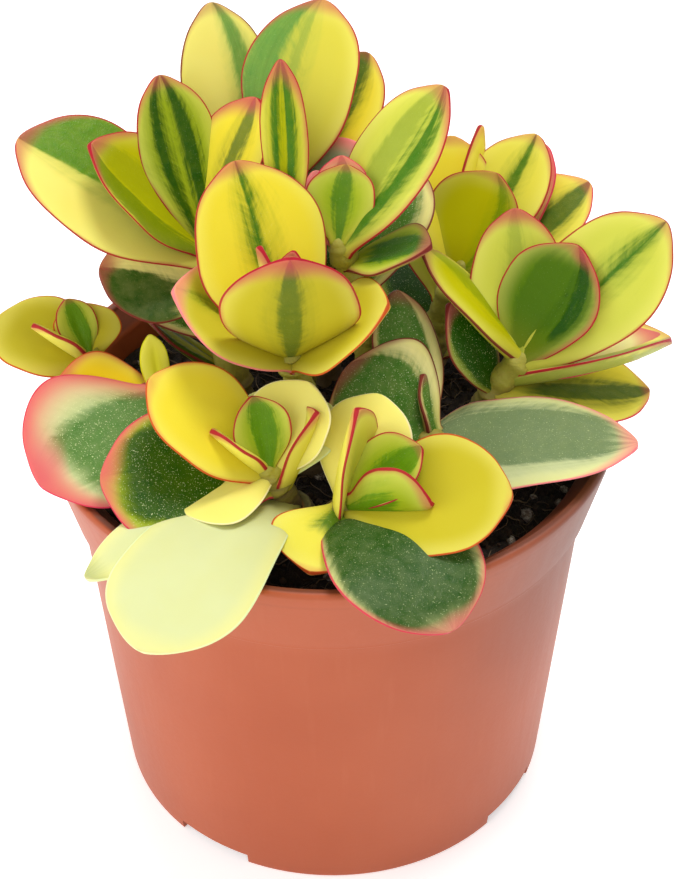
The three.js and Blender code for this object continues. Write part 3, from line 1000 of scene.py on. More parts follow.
def the_stems() -> list[Stem]:
    """Every stem with its leaves, in the sizes of the CAD source.

    A leaf's numbers are down, heading, rise, roll, length and width, then bend, cup and widest.

    Returns:
        The twelve stems.
    """
    upper_left = Branch((-20, 6), (-26, 10, 130), 4.5, 2, leaves=[
        Leaf(5, 172, 35, -20, 45.5, 28, -15, 0.15, look=HALF_GREEN),
        Leaf(3, 178, 50, -20, 33.5, 20, 10, 0.4, look=OLIVE_CUP),
        Leaf(13, 183, 18, -30, 25, 20, -15, 0.15, look=DARK_LEFT),
        Leaf(1, 117, 59, 0, 35, 17, 0, 0.2, look=TWO_STRIPES),
        Leaf(0, 45, 57, 0, 31, 18, 0, 0.15, look=GREY_STRIPE),
        Leaf(34, 163, 34, 22, 22, 9, look=OLIVE_EDGED),
        Leaf(24, 145, 16, 0, 25, 18, -15, look=SPECKLED),
        Leaf(18, 112, 16, 0, 26, 17, -15, look=MID_STRIPE),
    ])
    back_left = Branch((-14, 26), (-17, 26, 129.5), 4.5, 2, leaves=[
        Leaf(0, 113, 64, 0, 41, 20, -10, 0.15, 0.55, RIGHT_STRIPE),
        Leaf(9, 165, 25, 0, 34, 21, -10, 0.15, look=STREAKED),
        Leaf(9, 112, 22, 0, 30, 20, -10, 0.15, look=MID_STRIPE),
        Leaf(20, 150, 10, 0, 28, 19, -15, look=DARK_GREEN),
        Leaf(23, 62, 12, 0, 27, 17, -15, look=SPECKLED),
    ])
    back = Branch((-2, 20), (-10, 18, 137), 5, 2.1, leaves=[
        Leaf(0, 65, 55, 0, 39, 25, -10, 0.15, 0.58, LARGE_UPRIGHT),
        Leaf(3, 49, 40, 10, 35, 20, look=GREY_LEFT),
        Leaf(5, -5, 38, 40, 22, 15, 0, 0.15, look=GREY_LEAF),
        Leaf(9, 71, 24, 0, 33, 20, -10, 0.15, look=FEATHERED),
        Leaf(44, 80, 14, 0, 32, 22, -20, look=SPECKLED),
        Leaf(24, 57, 14, 0, 29, 18, -15, look=DARK_GREEN),
    ])
    middle = Branch((-6, 3), (-8, 2, 134), 4, 1.9, leaves=[
        Leaf(0, 94, 62, 0, 36.5, 9.5, 0, 0.3, look=NARROW_STRIPED),
    ])
    centre = Branch((10, 4), (2, 2, 134), 4.5, 1.9, leaves=[
        Leaf(2, 34, 50, 0, 38.5, 22, -5, 0.15, 0.55, STREAKED),
        Leaf(0, 80, 55, 0, 16, 14, 0, 0.45, look=GREEN_MIDDLE),
        Leaf(3, 92, 56, 0, 20, 12, 0, 0.3, look=CREAM_STRIPED),
        Leaf(3, 121, 50, 0, 18, 10, 0, 0.2, look=GREY_LEAF),
        Leaf(6, 343, 26, 0, 19, 17, 0, 0.2, look=BLOTCHED),
        Leaf(14, 68, 30, 0, 32, 20, -10, 0.15, look=SPECKLED),
    ])
    centre_front = Branch((-4, -11), (-8, -14, 120), 5, 2.2, leaves=[
        Leaf(0, 119, 56, 0, 38.5, 28, -5, 0.1, 0.55, DOTTED_STRIPE),
        Leaf(0, 275, 70, 0, 31, 27, 40, 0.1, 0.5, BROAD_FRONT),
        Leaf(4, 181, 39, -12, 29.5, 24, -10, 0.2, look=THIN_STRIPE),
        Leaf(4, 351, 41, 4, 25, 25, -10, look=PLAIN),
        Leaf(-1, 140, 72, 60, 22, 8, 0, 0.2, look=YOUNG),
        Leaf(-1, 75, 74, 0, 20, 8, 0, 0.2, look=YOUNG),
    ])
    right_back = Branch((20, 17), (28, 18, 117), 4.5, 2, leaves=[
        Leaf(2, 50, 58, 0, 23, 22, 0, 0.35, look=OLIVE_STRIPED),
        Leaf(4, 91, 47, 10, 31.5, 18, 0, 0.2, look=PLAIN_RED),
        Leaf(3, 48, 42, 0, 35, 20, 0, 0.15, look=MID_STRIPE),
        Leaf(6, 74, 47, 60, 36, 7, look=PLAIN_RED),
        Leaf(7, 45, 39, 0, 38, 20, 0, 0.15, look=PINK_BACKED),
        Leaf(6, 23, 30, 8, 37, 22, 0, 0.15, look=LOW_STRIPE),
        Leaf(9, 90, 22, 0, 34, 22, -10, 0.15, look=STREAKED),
        Leaf(24, 40, 12, 0, 28, 20, -10, look=SPECKLED),
        Leaf(18, 104, 10, 0, 27, 18, -15, look=DARK_GREEN),
    ])
    right = Branch((29, -2), (39.3, -2.8, 109), 4.5, 2, leaves=[
        Leaf(0.5, 93, 53, -10, 31, 19, 0, 0.25, 0.5, replace(YOUNG, ground=Tone.SPRING)),
        Leaf(1.5, 34, 59, 28, 27.5, 21, 5, 0.35, look=GREEN_CUP),
        Leaf(2.5, 12, 46, 42, 43, 24, 0, 0.1, 0.58, FEATHERED),
        Leaf(5.5, 14, 6, 0, 34, 14, look=PINK_TIP),
        Leaf(6.5, 10, 8, -20, 36, 22, 10, 0.4, look=TWO_TONE),
        Leaf(10.5, 4, -4, 0, 33, 25, -10, look=LOW_STRIPE),
        Leaf(0.5, 158, 45, 10, 31, 14, look=OLIVE_PLAIN),
        Leaf(10.5, 178, 66, -35, 24.4, 14, 0, 0.2, look=DARK_GREEN),
    ])
    right_front = Branch((8, -16), (21, -18, 100), 5, 2.4, 0.5, leaves=[
        Leaf(6, 351, 10, 4, 45.5, 28, -5, 0.1, 0.3, LONG_GREY),
        Leaf(3, 104, 46, 0, 32.5, 14, look=SPECKLED),
        Leaf(1, 152, 32, -30, 23, 28, look=SPECKLED),
        Leaf(1, 100, 50, 60, 14, 8, look=SPECKLED),
    ])
    stump = Branch((-5, -28), (-8, -29.5, 92), 5, 4.2, is_cut=True)
    front_left = Branch((-8, -27), (-12.5, -32, 104), 5, 2, leaves=[
        Leaf(3, 166, 40, -16, 31.5, 22, -10, 0.15, 0.6, ORANGE_EDGED),
        Leaf(0, 113, 65, 0, 15.5, 12, 0, 0.5, look=GREEN_YOUNG),
        Leaf(0, 178, 44, 32, 14.5, 10, 0, 0.2, look=LIGHT_RED),
        Leaf(2, 52, 50, 0, 20, 19, 0, 0.15, look=LIGHT_PLAIN),
        Leaf(9, 0, 70, -6, 22, 14, 0, 0.4, 0.5, LIGHT_RED),
        Leaf(2, 212, -4, 0, 19, 17, 0, 0.15, look=LIGHT_PLAIN),
        Leaf(4, 105, 42, 0, 18, 14, look=PALE_PLAIN),
        Leaf(4, 47, 30, 0, 19, 14, look=PALE_PLAIN),
        Leaf(4, 186, 6, -24, 34, 29, -10, look=OLD_PINK),
        Leaf(13, 239, 3, 0, 50.5, 29, -60, 0.05, 0.74, PALE_OLD),
        Leaf(14, 215, 7, 0, 46, 14, -50, 0.05, look=PALE_DARK_TIP),
    ])
    front_right = Branch((0.5, -30), (3.5, -38, 100.5), 4.4, 2, leaves=[
        Leaf(8, 185, 97, -30, 27, 18, 0, 0.3, 0.4, LIGHT_RED),
        Leaf(2, 66, 44, 0, 23, 19, look=LIGHT_PLAIN),
        Leaf(0, 14, 38, 15, 18.5, 15, 0, 0.3, look=GREEN_YOUNG),
        Leaf(-1, 338, 18, -68, 17.5, 15.5, 0, 0.5, look=OUTER_GREEN),
        Leaf(1, 348, 14, 25, 33, 26, -5, 0.1, 0.55, PLAIN),
        Leaf(3, 248, -4, 0, 18.5, 21, 0, 0.25, look=YELLOW_BLOTCH),
        Leaf(8, 302, 0, 0, 38.5, 30, -68, 0.05, look=DOTTED_OLD),
    ])
    left = Branch((-33, -3), (-50, 0, 108), 4, 1.8, 0.5, leaves=[
        Leaf(3, 160, 17, -15, 23.5, 20, -5, look=PLAIN),
        Leaf(1, 100, 45, 0, 12, 14, look=PLAIN),
        Leaf(0, 125, 55, 0, 12.8, 9, 0, 0.3, look=GREEN_YOUNG),
        Leaf(0, 180, 38, 33, 13.5, 7, 0, 0.3, look=LIGHT_RED),
    ])
    left_front = Branch((-30, -14), (-35, -10, 105), 4.5, 2.2, leaves=[
        Leaf(2, 178, 14, -25, 22, 18, look=ORANGE_CRESCENT),
        Leaf(0, 223, -10, -20, 31, 32, -15, 0.1, 0.52, OLD_ROSE),
        Leaf(2, 105, 54, 0, 15, 6, look=OLIVE_SMALL),
    ])
    return [
        Stem("stem_upper_left", "leaf_variegated", [upper_left]),
        Stem("stem_back_left", "leaf_variegated", [back_left]),
        Stem("stem_back", "leaf_variegated", [back]),
        Stem("stem_middle", "leaf_variegated", [middle]),
        Stem("stem_centre", "leaf_variegated", [centre]),
        Stem("stem_centre_front", "leaf_yellow", [centre_front]),
        Stem("stem_right_back", "leaf_variegated", [right_back]),
        Stem("stem_right", "leaf_yellow", [right]),
        Stem("stem_right_front", "leaf_grey_green", [right_front]),
        Stem("front_plant", "leaf_yellow", [stump, front_left, front_right]),
        Stem("stem_left", "leaf_yellow", [left]),
        Stem("stem_left_front", "leaf_grey_green", [left_front]),
    ]


@dataclass
class Pot:
    """Turned plastic pot with a tapering collar, a rounded lip and four drain slots.

    Attributes:
        height: Height of the lip.
        base_radius: Radius at the foot.
        body_top_radius: Radius where the body meets the ledge.
        ledge_z: Height of the ledge under the collar.
        collar_foot_radius: Radius of the collar at the ledge.
        rim_radius: Radius of the lip.
        lip_inner_radius: Radius of the mouth.
        wall: Thickness of the wall.
        floor: Thickness of the floor.
        chamfer: How far the chamfer reaches down inside the mouth.
        lip_height: How far below the top the collar turns into the lip.
        foot_corner: Radius of the corner at the foot.
        ledge_corner: Radius of the ledge's corner.
        lip_corner: Radius of the lip's outer corner.
        lip_inner_corner: Radius of the lip's inner corner.
        floor_corner: Radius of the corner inside the floor.
        middle: Radius of the small ring that closes the floor and the underside.
        underside: Radius of a ring on the flat of the floor and the underside.
        segments: Points round the pot.
        slot_count: How many drain slots.
        slot_first: Direction of the first slot, from -Y, in degrees.
        slot_width: Width of a slot, along the rim.
        slot_depth: Width of its cutter, towards the middle.
        slot_height: Height of a slot.
    """

    height: float = 97.0
    base_radius: float = 48.6
    body_top_radius: float = 54.4
    ledge_z: float = 79.0
    collar_foot_radius: float = 56.0
    rim_radius: float = 60.0
    lip_inner_radius: float = 57.7
    wall: float = 1.4
    floor: float = 1.8
    chamfer: float = 3.6
    lip_height: float = 1.4
    foot_corner: float = 0.7
    ledge_corner: float = 0.55
    lip_corner: float = 1.0
    lip_inner_corner: float = 0.6
    floor_corner: float = 0.8
    middle: float = 0.01
    underside: float = 30.0
    segments: int = 224
    slot_count: int = 4
    slot_first: float = -34.0
    slot_width: float = 18.0
    slot_depth: float = 9.0
    slot_height: float = 3.0

    def inner_radius(self, z: float | np.ndarray) -> float | np.ndarray:
        """Radius of the inner wall at a height."""
        return self.base_radius - self.wall + (self.body_top_radius - self.base_radius) * z / self.ledge_z

    def arc(self, radius_at: float, z: float, corner: float, start: float, stop: float) -> np.ndarray:
        """Points of a rounded corner of the section.

        Args:
            radius_at: Distance of the corner's centre from the pot's axis.
            z: Height of the corner's centre.
            corner: Radius of the corner.
            start: Where it starts, in degrees.
            stop: Where it stops, in degrees.

        Returns:
            Rows of radius and height.
        """
        turns = np.radians(np.linspace(start, stop, 7))
        return np.stack([radius_at + corner * np.cos(turns), z + corner * np.sin(turns)], axis=-1)

    def line(self, start: tuple[float, float], stop: tuple[float, float], shares: np.ndarray) -> np.ndarray:
        """Points at shares of the way along a straight line of the section."""
        start, stop = np.array(start), np.array(stop)
        return start + (stop - start) * shares[:, None]

    def section(self) -> np.ndarray:
        """The wall's section as radius and height, from the middle of the underside round to the floor.

        Returns:
            Its points, with rounded corners at base, ledge, lip and chamfer.
        """
        chamfer_z = self.height - self.chamfer
        inner = self.inner_radius(chamfer_z)
        foot, ledge, inside = self.foot_corner, self.ledge_corner, self.floor_corner
        lip, lip_inner = self.lip_corner, self.lip_inner_corner
        drop = np.linspace(chamfer_z - 1.6, self.floor + inside, 18)
        body_foot, body_top = (self.base_radius, 0.0), (self.body_top_radius, self.ledge_z)
        collar_top = (self.rim_radius, self.height - self.lip_height)
        return np.concatenate([
            [(self.middle, 0.0), (self.underside, 0.0)],
            self.arc(self.base_radius - foot, foot, foot, -90, -4),
            self.line(body_foot, body_top, np.linspace(0.03, 0.985, 22)),
            [(self.body_top_radius + 0.15, self.ledge_z - 0.55)],
            self.arc(self.collar_foot_radius - ledge, self.ledge_z + 0.05, ledge, -80, 8),
            self.line((self.collar_foot_radius, self.ledge_z), collar_top, np.linspace(0.06, 0.9, 8)),
            self.arc(self.rim_radius - lip, self.height - lip, lip, -8, 90),
            self.arc(self.lip_inner_radius + lip_inner, self.height - lip_inner, lip_inner, 90, 190),
            [(inner + 1.2, chamfer_z + 0.3), (inner + 0.5, chamfer_z - 0.2), (inner + 0.1, chamfer_z - 0.8)],
            np.stack([self.inner_radius(drop), drop], axis=-1),
            self.arc(self.inner_radius(self.floor) - inside, self.floor + inside, inside, 0, -90),
            [(self.underside, self.floor), (self.middle, self.floor)],
        ])

    def shell(self) -> Skin:
        """The section turned about the pot's axis: (r cos t, r sin t, z)."""
        section = self.section()
        turn = 2 * np.pi * np.arange(self.segments) / self.segments
        radius, z = section[:, :1], section[:, 1:]
        rings = np.stack([radius * np.cos(turn), radius * np.sin(turn), z * np.ones_like(turn)], axis=-1)
        return tube(rings, {})

    def cutters(self) -> bpy.types.Object:
        """Boxes that cut the drain slots, one row of eight corners each."""
        signs = np.array([[x, y, z] for x in (-1, 1) for y in (-1, 1) for z in (-1, 1)])
        corners = signs * np.array([self.slot_width, self.slot_depth, 2 * self.slot_height]) / 2
        corners = corners - [0, self.base_radius, 0]
        turns = np.radians(self.slot_first + 360 * np.arange(self.slot_count) / self.slot_count)
        x = corners[:, 0] * np.cos(turns)[:, None] - corners[:, 1] * np.sin(turns)[:, None]
        y = corners[:, 0] * np.sin(turns)[:, None] + corners[:, 1] * np.cos(turns)[:, None]
        z = corners[:, 2] * np.ones_like(x)
        points = np.stack([x, y, z], axis=-1).reshape(-1, 3)
        box = np.array([[0, 1, 3, 2], [4, 6, 7, 5], [0, 4, 5, 1], [2, 3, 7, 6], [0, 2, 6, 4], [1, 5, 7, 3]])
        faces = (box[None] + 8 * np.arange(self.slot_count)[:, None, None]).reshape(-1, 4)
        mesh = bpy.data.meshes.new("slot_cutters")
        mesh.from_pydata((points * MM).tolist(), [], faces.tolist())
        thing = bpy.data.objects.new("slot_cutters", mesh)
        bpy.context.scene.collection.objects.link(thing)
        return thing

    def material(self) -> bpy.types.Material:
        """Satin terracotta-coloured plastic, with a faint mottle, fine scuffs and painted shade on the
        collar's right side and inside the lip.
        """
        graph = Graph("pot_plastic")
        place = graph.place()
        x, y, z = graph.split(place)
        cloud = graph.noise(place, 22.0, 3.0, 0.5)
        grain = graph.noise(place, 900.0, 3.0, 0.6)
        upright = graph.join(graph.times(x, 14.0), graph.times(y, 14.0), z)
        drawn = graph.noise(upright, 26.0, 3.0, 0.55)
        deep, light = rgba(srgb(169, 78, 40)), rgba(srgb(177, 86, 48))
        # The grey paints shade and reflection on the collar's right side; the dark brown paints shade inside
        # the lip
        grey, painted_lip_shade, scuffed = rgba(srgb(112, 74, 62)), rgba(srgb(104, 50, 30)), rgba(srgb(214, 138, 108))
        plastic = graph.colour(graph.rise(cloud, 0.3, 0.7), deep, light)
        # Painted shade and painted reflection: the collar is greyer and darker on its right side
        painted_right_shade = graph.times(graph.rise(x, 0.015, 0.06), graph.rise(z, 0.03, 0.09))
        plastic = graph.colour(graph.times(painted_right_shade, 0.9), plastic, grey)
        # Painted shade: the lip is darker inside its rim, over the last 4 mm of the height
        out = graph.add("ShaderNodeVectorMath", {0: graph.join(x, y, 0.0)}, "Value", operation="LENGTH")
        inside = graph.times(graph.fall(out, 0.0588, 0.0596), graph.rise(z, 0.0925, 0.0935))
        plastic = graph.colour(graph.times(inside, 0.85), plastic, painted_lip_shade)
        plastic = graph.colour(graph.times(graph.rise(drawn, 0.55, 0.8), 0.05), plastic, scuffed)
        return graph.finish(
            Base_Color=plastic,
            Roughness=graph.shifted(graph.between(drawn, 0.4, 0.5), grain, 0.08),
            Normal=graph.bump(grain, 0.00008, 0.35),
            IOR=1.48,
            Specular_IOR_Level=0.35,
            Subsurface_Weight=0.05,
            Subsurface_Scale=0.002,
        )

    def build(self) -> bpy.types.Object:
        """Builds and dresses the pot.

        Returns:
            The pot's object.
        """
        whole = write("pot_whole", [self.shell()], [self.material()])
        cutters = self.cutters()
        cut = whole.modifiers.new("slots", "BOOLEAN")
        cut.operation = "DIFFERENCE"
        cut.solver = "EXACT"
        cut.object = cutters
        bpy.context.view_layer.update()
        depsgraph = bpy.context.evaluated_depsgraph_get()
        mesh = bpy.data.meshes.new_from_object(whole.evaluated_get(depsgraph))
        bpy.data.objects.remove(whole)
        bpy.data.objects.remove(cutters)
        mesh.name = "pot_dressed"
        mesh.set_sharp_from_angle(angle=np.radians(35))
        thing = bpy.data.objects.new("pot_dressed", mesh)
        bpy.context.scene.collection.objects.link(thing)
        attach(thing, "root")
        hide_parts("pot")
        LOG.info("pot_dressed: %d faces", len(mesh.polygons))
        return thing


# Large perlite grains: place across, place back and radius
LARGE_GRAINS = [
    (39.7, -26.3, 1.8), (46.5, -22, 1), (48, -18, 1), (-0.3, -44.4, 1.5), (36, -35, 1.2),
    (43, -28.5, 0.9), (-39, 33, 1.2), (-6, -40, 1.2), (30, 38, 1.4), (-44, 20, 1.3),
]


@dataclass
class Soil:
    """Potting mix that fills the pot: crumbs, fibres, bark and perlite on an uneven top.

    Attributes:
        pot: The pot that it fills.
        level: Mean height of its top.
        dome: How much higher the middle is than the edge.
        roughness: Height of the slow waves.
        relief: Share of the small relief that shows.
        gap: Room between it and the pot.
        around: Points round a ring of the top.
        rings: Rings of the top.
        fibre_count: How many coir fibres.
        crumb_count: How many crumbs of bark.
        grain_count: How many small perlite grains.
    """

    pot: Pot
    level: float = 87.0
    dome: float = 1.2
    roughness: float = 0.5
    relief: float = 0.8
    gap: float = 0.35
    around: int = 300
    rings: int = 110
    fibre_count: int = 620
    crumb_count: int = 900
    grain_count: int = 70

    def top(self, x: np.ndarray, y: np.ndarray) -> np.ndarray:
        """Height of the top, slightly domed: level + dome (0.5 - out^2) + roughness * slow waves."""
        out = np.hypot(x, y) / self.pot.lip_inner_radius
        waves = np.sin(0.31 * x + 1.3) * np.cos(0.27 * y) + np.sin(0.13 * x - 0.19 * y)
        return self.level + self.dome * (0.5 - out**2) + self.roughness * waves

    def crumble(self, x: np.ndarray, y: np.ndarray) -> np.ndarray:
        """Small relief: a sum of waves in seeded directions, each octave finer and lower."""
        random = np.random.default_rng(SEED)
        height = np.zeros_like(x)
        for octave in range(4):
            for _ in range(9):
                turn, phase = random.uniform(0, 2 * np.pi, 2)
                pitch = 0.9 * 1.8**octave * random.uniform(0.7, 1.3)
                height += 0.2 / 1.5**octave * np.sin(pitch * (x * np.cos(turn) + y * np.sin(turn)) + phase)
        return height

    def body(self) -> Skin:
        """The plug of soil: rings out from the middle, down the pot's wall and back in under it."""
        edge = self.pot.inner_radius(self.level) - self.gap
        turn = 2 * np.pi * np.arange(self.around) / self.around
        radii = edge * np.linspace(0.004, 1, self.rings)[:, None]
        x, y = radii * np.cos(turn), radii * np.sin(turn)
        calm = np.clip((edge - radii) / 1.5, 0, 1)
        z = self.top(x, y) + self.crumble(x, y) * calm * self.relief
        low = self.pot.floor + self.gap
        heights = np.array([70.0, 50.0, 25.0, low, low])[:, None]
        outer = self.pot.inner_radius(heights) - self.gap
        outer[-1] = 0.2
        below = np.stack([outer * np.cos(turn), outer * np.sin(turn), heights * np.ones_like(turn)], axis=-1)
        return tube(np.concatenate([np.stack([x, y, z], axis=-1), below]), {})

    def scatter(
        self, count: int, spread: float, random: np.random.Generator
    ) -> tuple[np.ndarray, np.ndarray]:
        """Places spread evenly over the soil's top.

        Args:
            count: How many.
            spread: Radius of the circle that holds them.
            random: The source of chance.

        Returns:
            Their places across and back.
        """
        radius = spread * np.sqrt(random.uniform(0, 1, count))
        turn = random.uniform(0, 2 * np.pi, count)
        return radius * np.cos(turn), radius * np.sin(turn)

    def fibres(self) -> Skin:
        """Coir fibres: three-sided hairs along arcs that lie on the crumbs.

        A fibre's middle line is centre + direction * half * s + side * curl * (s^2 - 0.5), for s from -1
        to 1, and its height is the soil's own there with a lift that peaks in the middle.

        Returns:
            One skin of them all.
        """
        random = np.random.default_rng(SEED + 1)
        count, steps, sides = self.fibre_count, 9, 3
        x0, y0 = self.scatter(count, self.pot.inner_radius(self.level) - 3, random)
        turn = random.uniform(0, 2 * np.pi, count)[:, None]
        half = random.uniform(1.5, 6, count)[:, None]
        curl = random.uniform(-0.6, 0.6, count)[:, None] * half
        thick = random.uniform(0.09, 0.22, count)[:, None]
        s = np.linspace(-1, 1, steps)[None, :]
        x = x0[:, None] + half * s * np.cos(turn) - curl * (s**2 - 0.5) * np.sin(turn)
        y = y0[:, None] + half * s * np.sin(turn) + curl * (s**2 - 0.5) * np.cos(turn)
        reach = np.hypot(x, y)
        limit = self.pot.inner_radius(self.level) - 0.8
        x, y = x * np.minimum(1, limit / reach), y * np.minimum(1, limit / reach)
        lift = random.uniform(0.0, 0.9, count)[:, None] * (1 - s**2)
        z = self.top(x, y) + self.crumble(x, y) * self.relief + 0.1 + lift
        line = np.stack([x, y, z], axis=-1)
        tangent = np.gradient(line, axis=1)
        tangent /= np.linalg.norm(tangent, axis=-1, keepdims=True)
        side = np.cross(tangent, [0.0, 0.0, 1.0])
        side /= np.linalg.norm(side, axis=-1, keepdims=True)
        other = np.cross(side, tangent)
        taper = (thick * (1 - 0.8 * np.abs(s) ** 3))[..., None, None]
        around = (2 * np.pi * np.arange(sides) / sides)[None, None, :, None]
        circle = side[:, :, None] * np.cos(around) + other[:, :, None] * np.sin(around)
        rings = line[:, :, None] + taper * circle
        tint = random.uniform(0, 1, count)[:, None, None]
        return self.many(rings, {"tint": tint * np.ones((count, steps, sides))}, 1)

    def many(self, rings: np.ndarray, values: dict[str, np.ndarray], finish: int) -> Skin:
        """Closes many tubes at once, with one pole at each end.

        Args:
            rings: Points by tube, ring and place round the ring.
            values: Numbers in the same order.
            finish: Number of the material on the object.

        Returns:
            One skin of them all.
        """
        count, steps, sides = rings.shape[:3]
        one = tube(rings[0], {key: value[0][..., None] for key, value in values.items()}, finish)
        ends = np.stack([rings[:, 0].mean(axis=1), rings[:, -1].mean(axis=1)], axis=1)
        points = np.concatenate([rings.reshape(count, -1, 3), ends], axis=1)
        faces = one.faces[None] + (points.shape[1] * np.arange(count))[:, None, None]
        held = {}
        for key, value in values.items():
            tips = np.stack([value[:, 0].mean(axis=1), value[:, -1].mean(axis=1)], axis=1)
            held[key] = np.concatenate([value.reshape(count, -1), tips], axis=1).reshape(-1, 1)
        return Skin(points.reshape(-1, 3), faces.reshape(-1, 4), held, finish)

    def lumps(
        self, x: np.ndarray, y: np.ndarray, radius: np.ndarray, squash: float, finish: int, seed: int
    ) -> Skin:
        """Uneven grains: balls whose radius varies by direction, sunk a little into the soil.

        Args:
            x: Their places across.
            y: Their places back.
            radius: Their sizes.
            squash: Height as a share of width.
            finish: Number of the material on the object.
            seed: Start of their chance numbers.

        Returns:
            One skin of them all.
        """
        random = np.random.default_rng(seed)
        count, steps, sides = len(x), 6, 8
        polar = np.linspace(0.25, np.pi - 0.25, steps)[None, :, None]
        turn = (2 * np.pi * np.arange(sides) / sides)[None, None, :]
        direction = np.stack(
            [np.sin(polar) * np.cos(turn), np.sin(polar) * np.sin(turn), np.cos(polar) * np.ones_like(turn)],
            axis=-1,
        )
        bumps = random.uniform(0.75, 1.2, (count, steps, sides))
        stretch = random.uniform(0.75, 1.25, (count, 1, 1, 3)) * np.array([1, 1, squash])
        ball = direction * (bumps * radius[:, None, None])[..., None] * stretch
        spin = random.uniform(0, np.pi, count)[:, None, None]
        bx = ball[..., 0] * np.cos(spin) - ball[..., 1] * np.sin(spin)
        by = ball[..., 0] * np.sin(spin) + ball[..., 1] * np.cos(spin)
        ground = self.top(x, y) + self.crumble(x, y) * self.relief + 0.2 * radius
        rings = np.stack(
            [bx + x[:, None, None], by + y[:, None, None], ball[..., 2] + ground[:, None, None]], axis=-1
        )
        tint = random.uniform(0, 1, count)[:, None, None] * np.ones((count, steps, sides))
        return self.many(rings, {"tint": tint}, finish)

    def materials(self) -> list[bpy.types.Material]:
        """Damp mix, fibres, crumbs and perlite."""
        mix = Graph("potting_mix")
        place = mix.place()
        clods = mix.noise(place, 500.0, 5.0, 0.7)
        crumbs = mix.noise(place, 1600.0, 3.0, 0.7)
        dark = mix.colour(mix.rise(clods, 0.35, 0.7), rgba(srgb(22, 16, 13)), rgba(srgb(58, 44, 34)))
        dark = mix.colour(mix.times(mix.rise(crumbs, 0.6, 0.75), 0.5), dark, rgba(srgb(98, 78, 60)))
        soil = mix.finish(
            Base_Color=dark,
            Roughness=mix.between(crumbs, 0.75, 1.0),
            Normal=mix.bump(mix.plus(clods, crumbs), 0.0012, 0.9),
        )
        hair = Graph("soil_fibre")
        tint = hair.attribute("tint")
        strand = hair.colour(tint, rgba(srgb(46, 34, 26)), rgba(srgb(128, 104, 80)))
        fibre = hair.finish(Base_Color=strand, Roughness=0.8)
        chip = Graph("soil_crumb")
        lump = chip.noise(chip.place(), 1100.0, 4.0, 0.7)
        bark = chip.colour(chip.attribute("tint"), rgba(srgb(24, 18, 15)), rgba(srgb(84, 62, 46)))
        crumb = chip.finish(
            Base_Color=chip.colour(chip.times(lump, 0.6), bark, rgba(srgb(40, 30, 24))),
            Roughness=0.9,
            Normal=chip.bump(lump, 0.0008, 0.8),
        )
        white = Graph("perlite_grain")
        pores = white.noise(white.place(), 1300.0, 4.0, 0.7)
        dusty, clean = rgba(srgb(104, 88, 76)), rgba(srgb(188, 180, 170))
        stone = white.colour(white.rise(pores, 0.42, 0.66), dusty, clean)
        perlite = white.finish(Base_Color=stone, Roughness=0.9, Normal=white.bump(pores, 0.0006, 0.8))
        return [soil, fibre, crumb, perlite]

    def build(self) -> bpy.types.Object:
        """Builds and dresses the soil.

        Returns:
            The soil's object.
        """
        random = np.random.default_rng(SEED + 2)
        reach = self.pot.inner_radius(self.level) - 2.5
        cx, cy = self.scatter(self.crumb_count, reach, random)
        crumbs = self.lumps(cx, cy, random.uniform(0.3, 0.95, self.crumb_count), 0.7, 2, SEED + 3)
        gx, gy = self.scatter(self.grain_count, reach, random)
        grains = self.lumps(gx, gy, random.uniform(0.4, 1.1, self.grain_count), 0.85, 3, SEED + 4)
        known = np.array(LARGE_GRAINS)
        stones = self.lumps(known[:, 0], known[:, 1], known[:, 2], 0.9, 3, SEED + 5)
        thing = write("soil_dressed", [self.body(), self.fibres(), crumbs, grains, stones], self.materials())
        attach(thing, "root")
        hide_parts("soil")
        return thing


@dataclass(frozen=True)
class SoftBox:
    """A square soft light aimed at the plant.

    Attributes:
        name: Name of the light.
        place: Where it hangs, in metres.
        size: Its side, in metres.
        power: Its power, in watts.
    """

    name: str
    place: tuple[float, float, float]
    size: float
    power: float


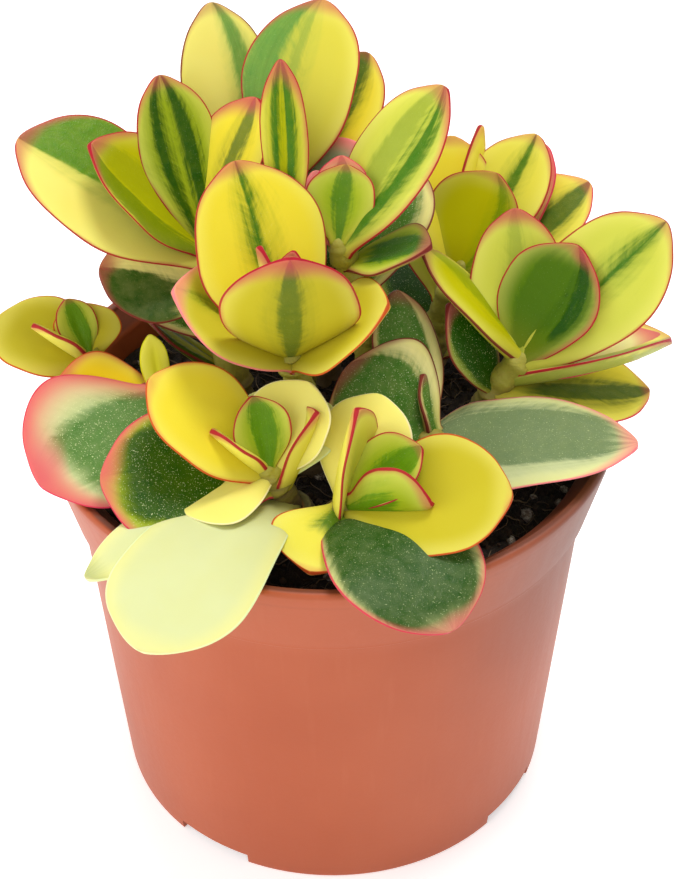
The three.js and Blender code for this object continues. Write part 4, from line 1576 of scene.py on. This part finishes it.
@dataclass
class Studio:
    """White floor, soft light and the camera of the photograph.

    Attributes:
        elevation: Camera's angle above level, in degrees.
        distance: Camera's distance from the target, in mm.
        target: Point that the camera looks at, in mm.
        lens: Focal length, in mm.
        sensor: Width of the film, in mm.
        roll: Camera's turn about its line of sight, in degrees.
        aim: Height that the lights are aimed at, in metres.
        half_floor: Half the side of the floor, in metres.
        floor_glow: Light that the floor gives off, so that it stays white.
        sky: Strength of the white surroundings.
    """

    elevation: float = 39.6
    distance: float = 435.0
    target: tuple[float, float, float] = (1.8, 0.0, 85.5)
    lens: float = 83.55
    sensor: float = 36.0
    roll: float = -0.44
    aim: float = 0.1
    half_floor: float = 3.0
    floor_glow: float = 0.45
    sky: float = 0.55
    boxes: tuple[SoftBox, ...] = (
        SoftBox("overhead", (0.22, 0.2, 1.3), 0.45, 9.0),
        SoftBox("front_fill", (-0.6, -1.4, 0.9), 1.6, 8.0),
        SoftBox("left_fill", (-1.3, -0.3, 0.6), 1.0, 7.0),
        SoftBox("back_gloss", (-0.35, 1.2, 1.1), 0.4, 2.5),
    )

    def floor(self) -> None:
        """A wide white sheet under the pot."""
        mesh = bpy.data.meshes.new("floor")
        edge = self.half_floor
        sheet_corners = [(-edge, -edge, 0), (edge, -edge, 0), (edge, edge, 0), (-edge, edge, 0)]
        mesh.from_pydata(sheet_corners, [], [(0, 1, 2, 3)])
        graph = Graph("white_floor")
        white = rgba((0.93, 0.93, 0.93))
        sheet = graph.finish(
            Base_Color=white, Roughness=0.9, Emission_Color=white, Emission_Strength=self.floor_glow
        )
        mesh.materials.append(sheet)
        thing = bpy.data.objects.new("floor", mesh)
        bpy.context.scene.collection.objects.link(thing)

    def light(self, box: SoftBox) -> None:
        """Hangs one soft light, facing the plant."""
        lamp = bpy.data.lights.new(box.name, "AREA")
        lamp.shape = "SQUARE"
        lamp.size = box.size
        lamp.energy = box.power
        thing = bpy.data.objects.new(box.name, lamp)
        place = np.array(box.place)
        back = place - np.array([0, 0, self.aim])
        thing.matrix_world = self.facing(back / np.linalg.norm(back), place, 0)
        bpy.context.scene.collection.objects.link(thing)

    def facing(self, back: np.ndarray, place: np.ndarray, roll: float) -> Matrix:
        """Placement of a camera or light that looks along -back.

        Args:
            back: Unit direction from the subject to it.
            place: Where it stands, in metres.
            roll: Turn about its own line of sight, in degrees.

        Returns:
            Its matrix.
        """
        level = np.cross([0.0, 0.0, 1.0], back)
        level /= np.linalg.norm(level)
        up = np.cross(back, level)
        turn = np.radians(roll)
        right = np.cos(turn) * level + np.sin(turn) * up
        up = -np.sin(turn) * level + np.cos(turn) * up
        matrix = Matrix.Identity(4)
        for row in range(3):
            matrix[row][0], matrix[row][1], matrix[row][2] = right[row], up[row], back[row]
            matrix[row][3] = place[row]
        return matrix

    def camera(self) -> None:
        """The camera at the photograph's height and distance."""
        lens = bpy.data.cameras.new("camera")
        lens.lens = self.lens
        lens.sensor_width = self.sensor
        lens.clip_start = 0.01
        thing = bpy.data.objects.new("camera", lens)
        rise = np.radians(self.elevation)
        back = np.array([0.0, -np.cos(rise), np.sin(rise)])
        place = np.array(self.target) * MM + back * self.distance * MM
        thing.matrix_world = self.facing(back, place, self.roll)
        bpy.context.scene.collection.objects.link(thing)
        bpy.context.scene.camera = thing

    def build(self) -> None:
        """Sets up floor, lights, surroundings and camera."""
        self.floor()
        for box in self.boxes:
            self.light(box)
        world = bpy.data.worlds.new("surroundings")
        world.use_nodes = True
        backdrop = world.node_tree.nodes["Background"]
        backdrop.inputs["Color"].default_value = (1.0, 1.0, 1.0, 1.0)
        backdrop.inputs["Strength"].default_value = self.sky
        bpy.context.scene.world = world
        bpy.context.scene.view_settings.view_transform = "Standard"
        self.camera()


def corners(box: tuple) -> list[list[float]]:
    """Two corners as plain lists of numbers."""
    return [[float(number) for number in corner] for corner in box]


def main() -> None:
    """Builds the dressed part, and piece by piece."""
    logging.basicConfig(level=logging.INFO, format="%(message)s")
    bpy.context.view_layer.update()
    pot = Pot()
    pot.build()
    Soil(pot).build()
    blade = Blade()
    bark = StemFinish().material()
    skins = {
        "leaf_variegated": LeafFinish("leaf_variegated").material(),
        "leaf_yellow": LeafFinish("leaf_yellow", matt=0.48).material(),
        "leaf_grey_green": LeafFinish("leaf_grey_green", sheen=0.34).material(),
    }
    for stem in the_stems():
        stem.build(skins[stem.slot], bark, blade)
    Studio().build()


if __name__ == "__main__":
    main()
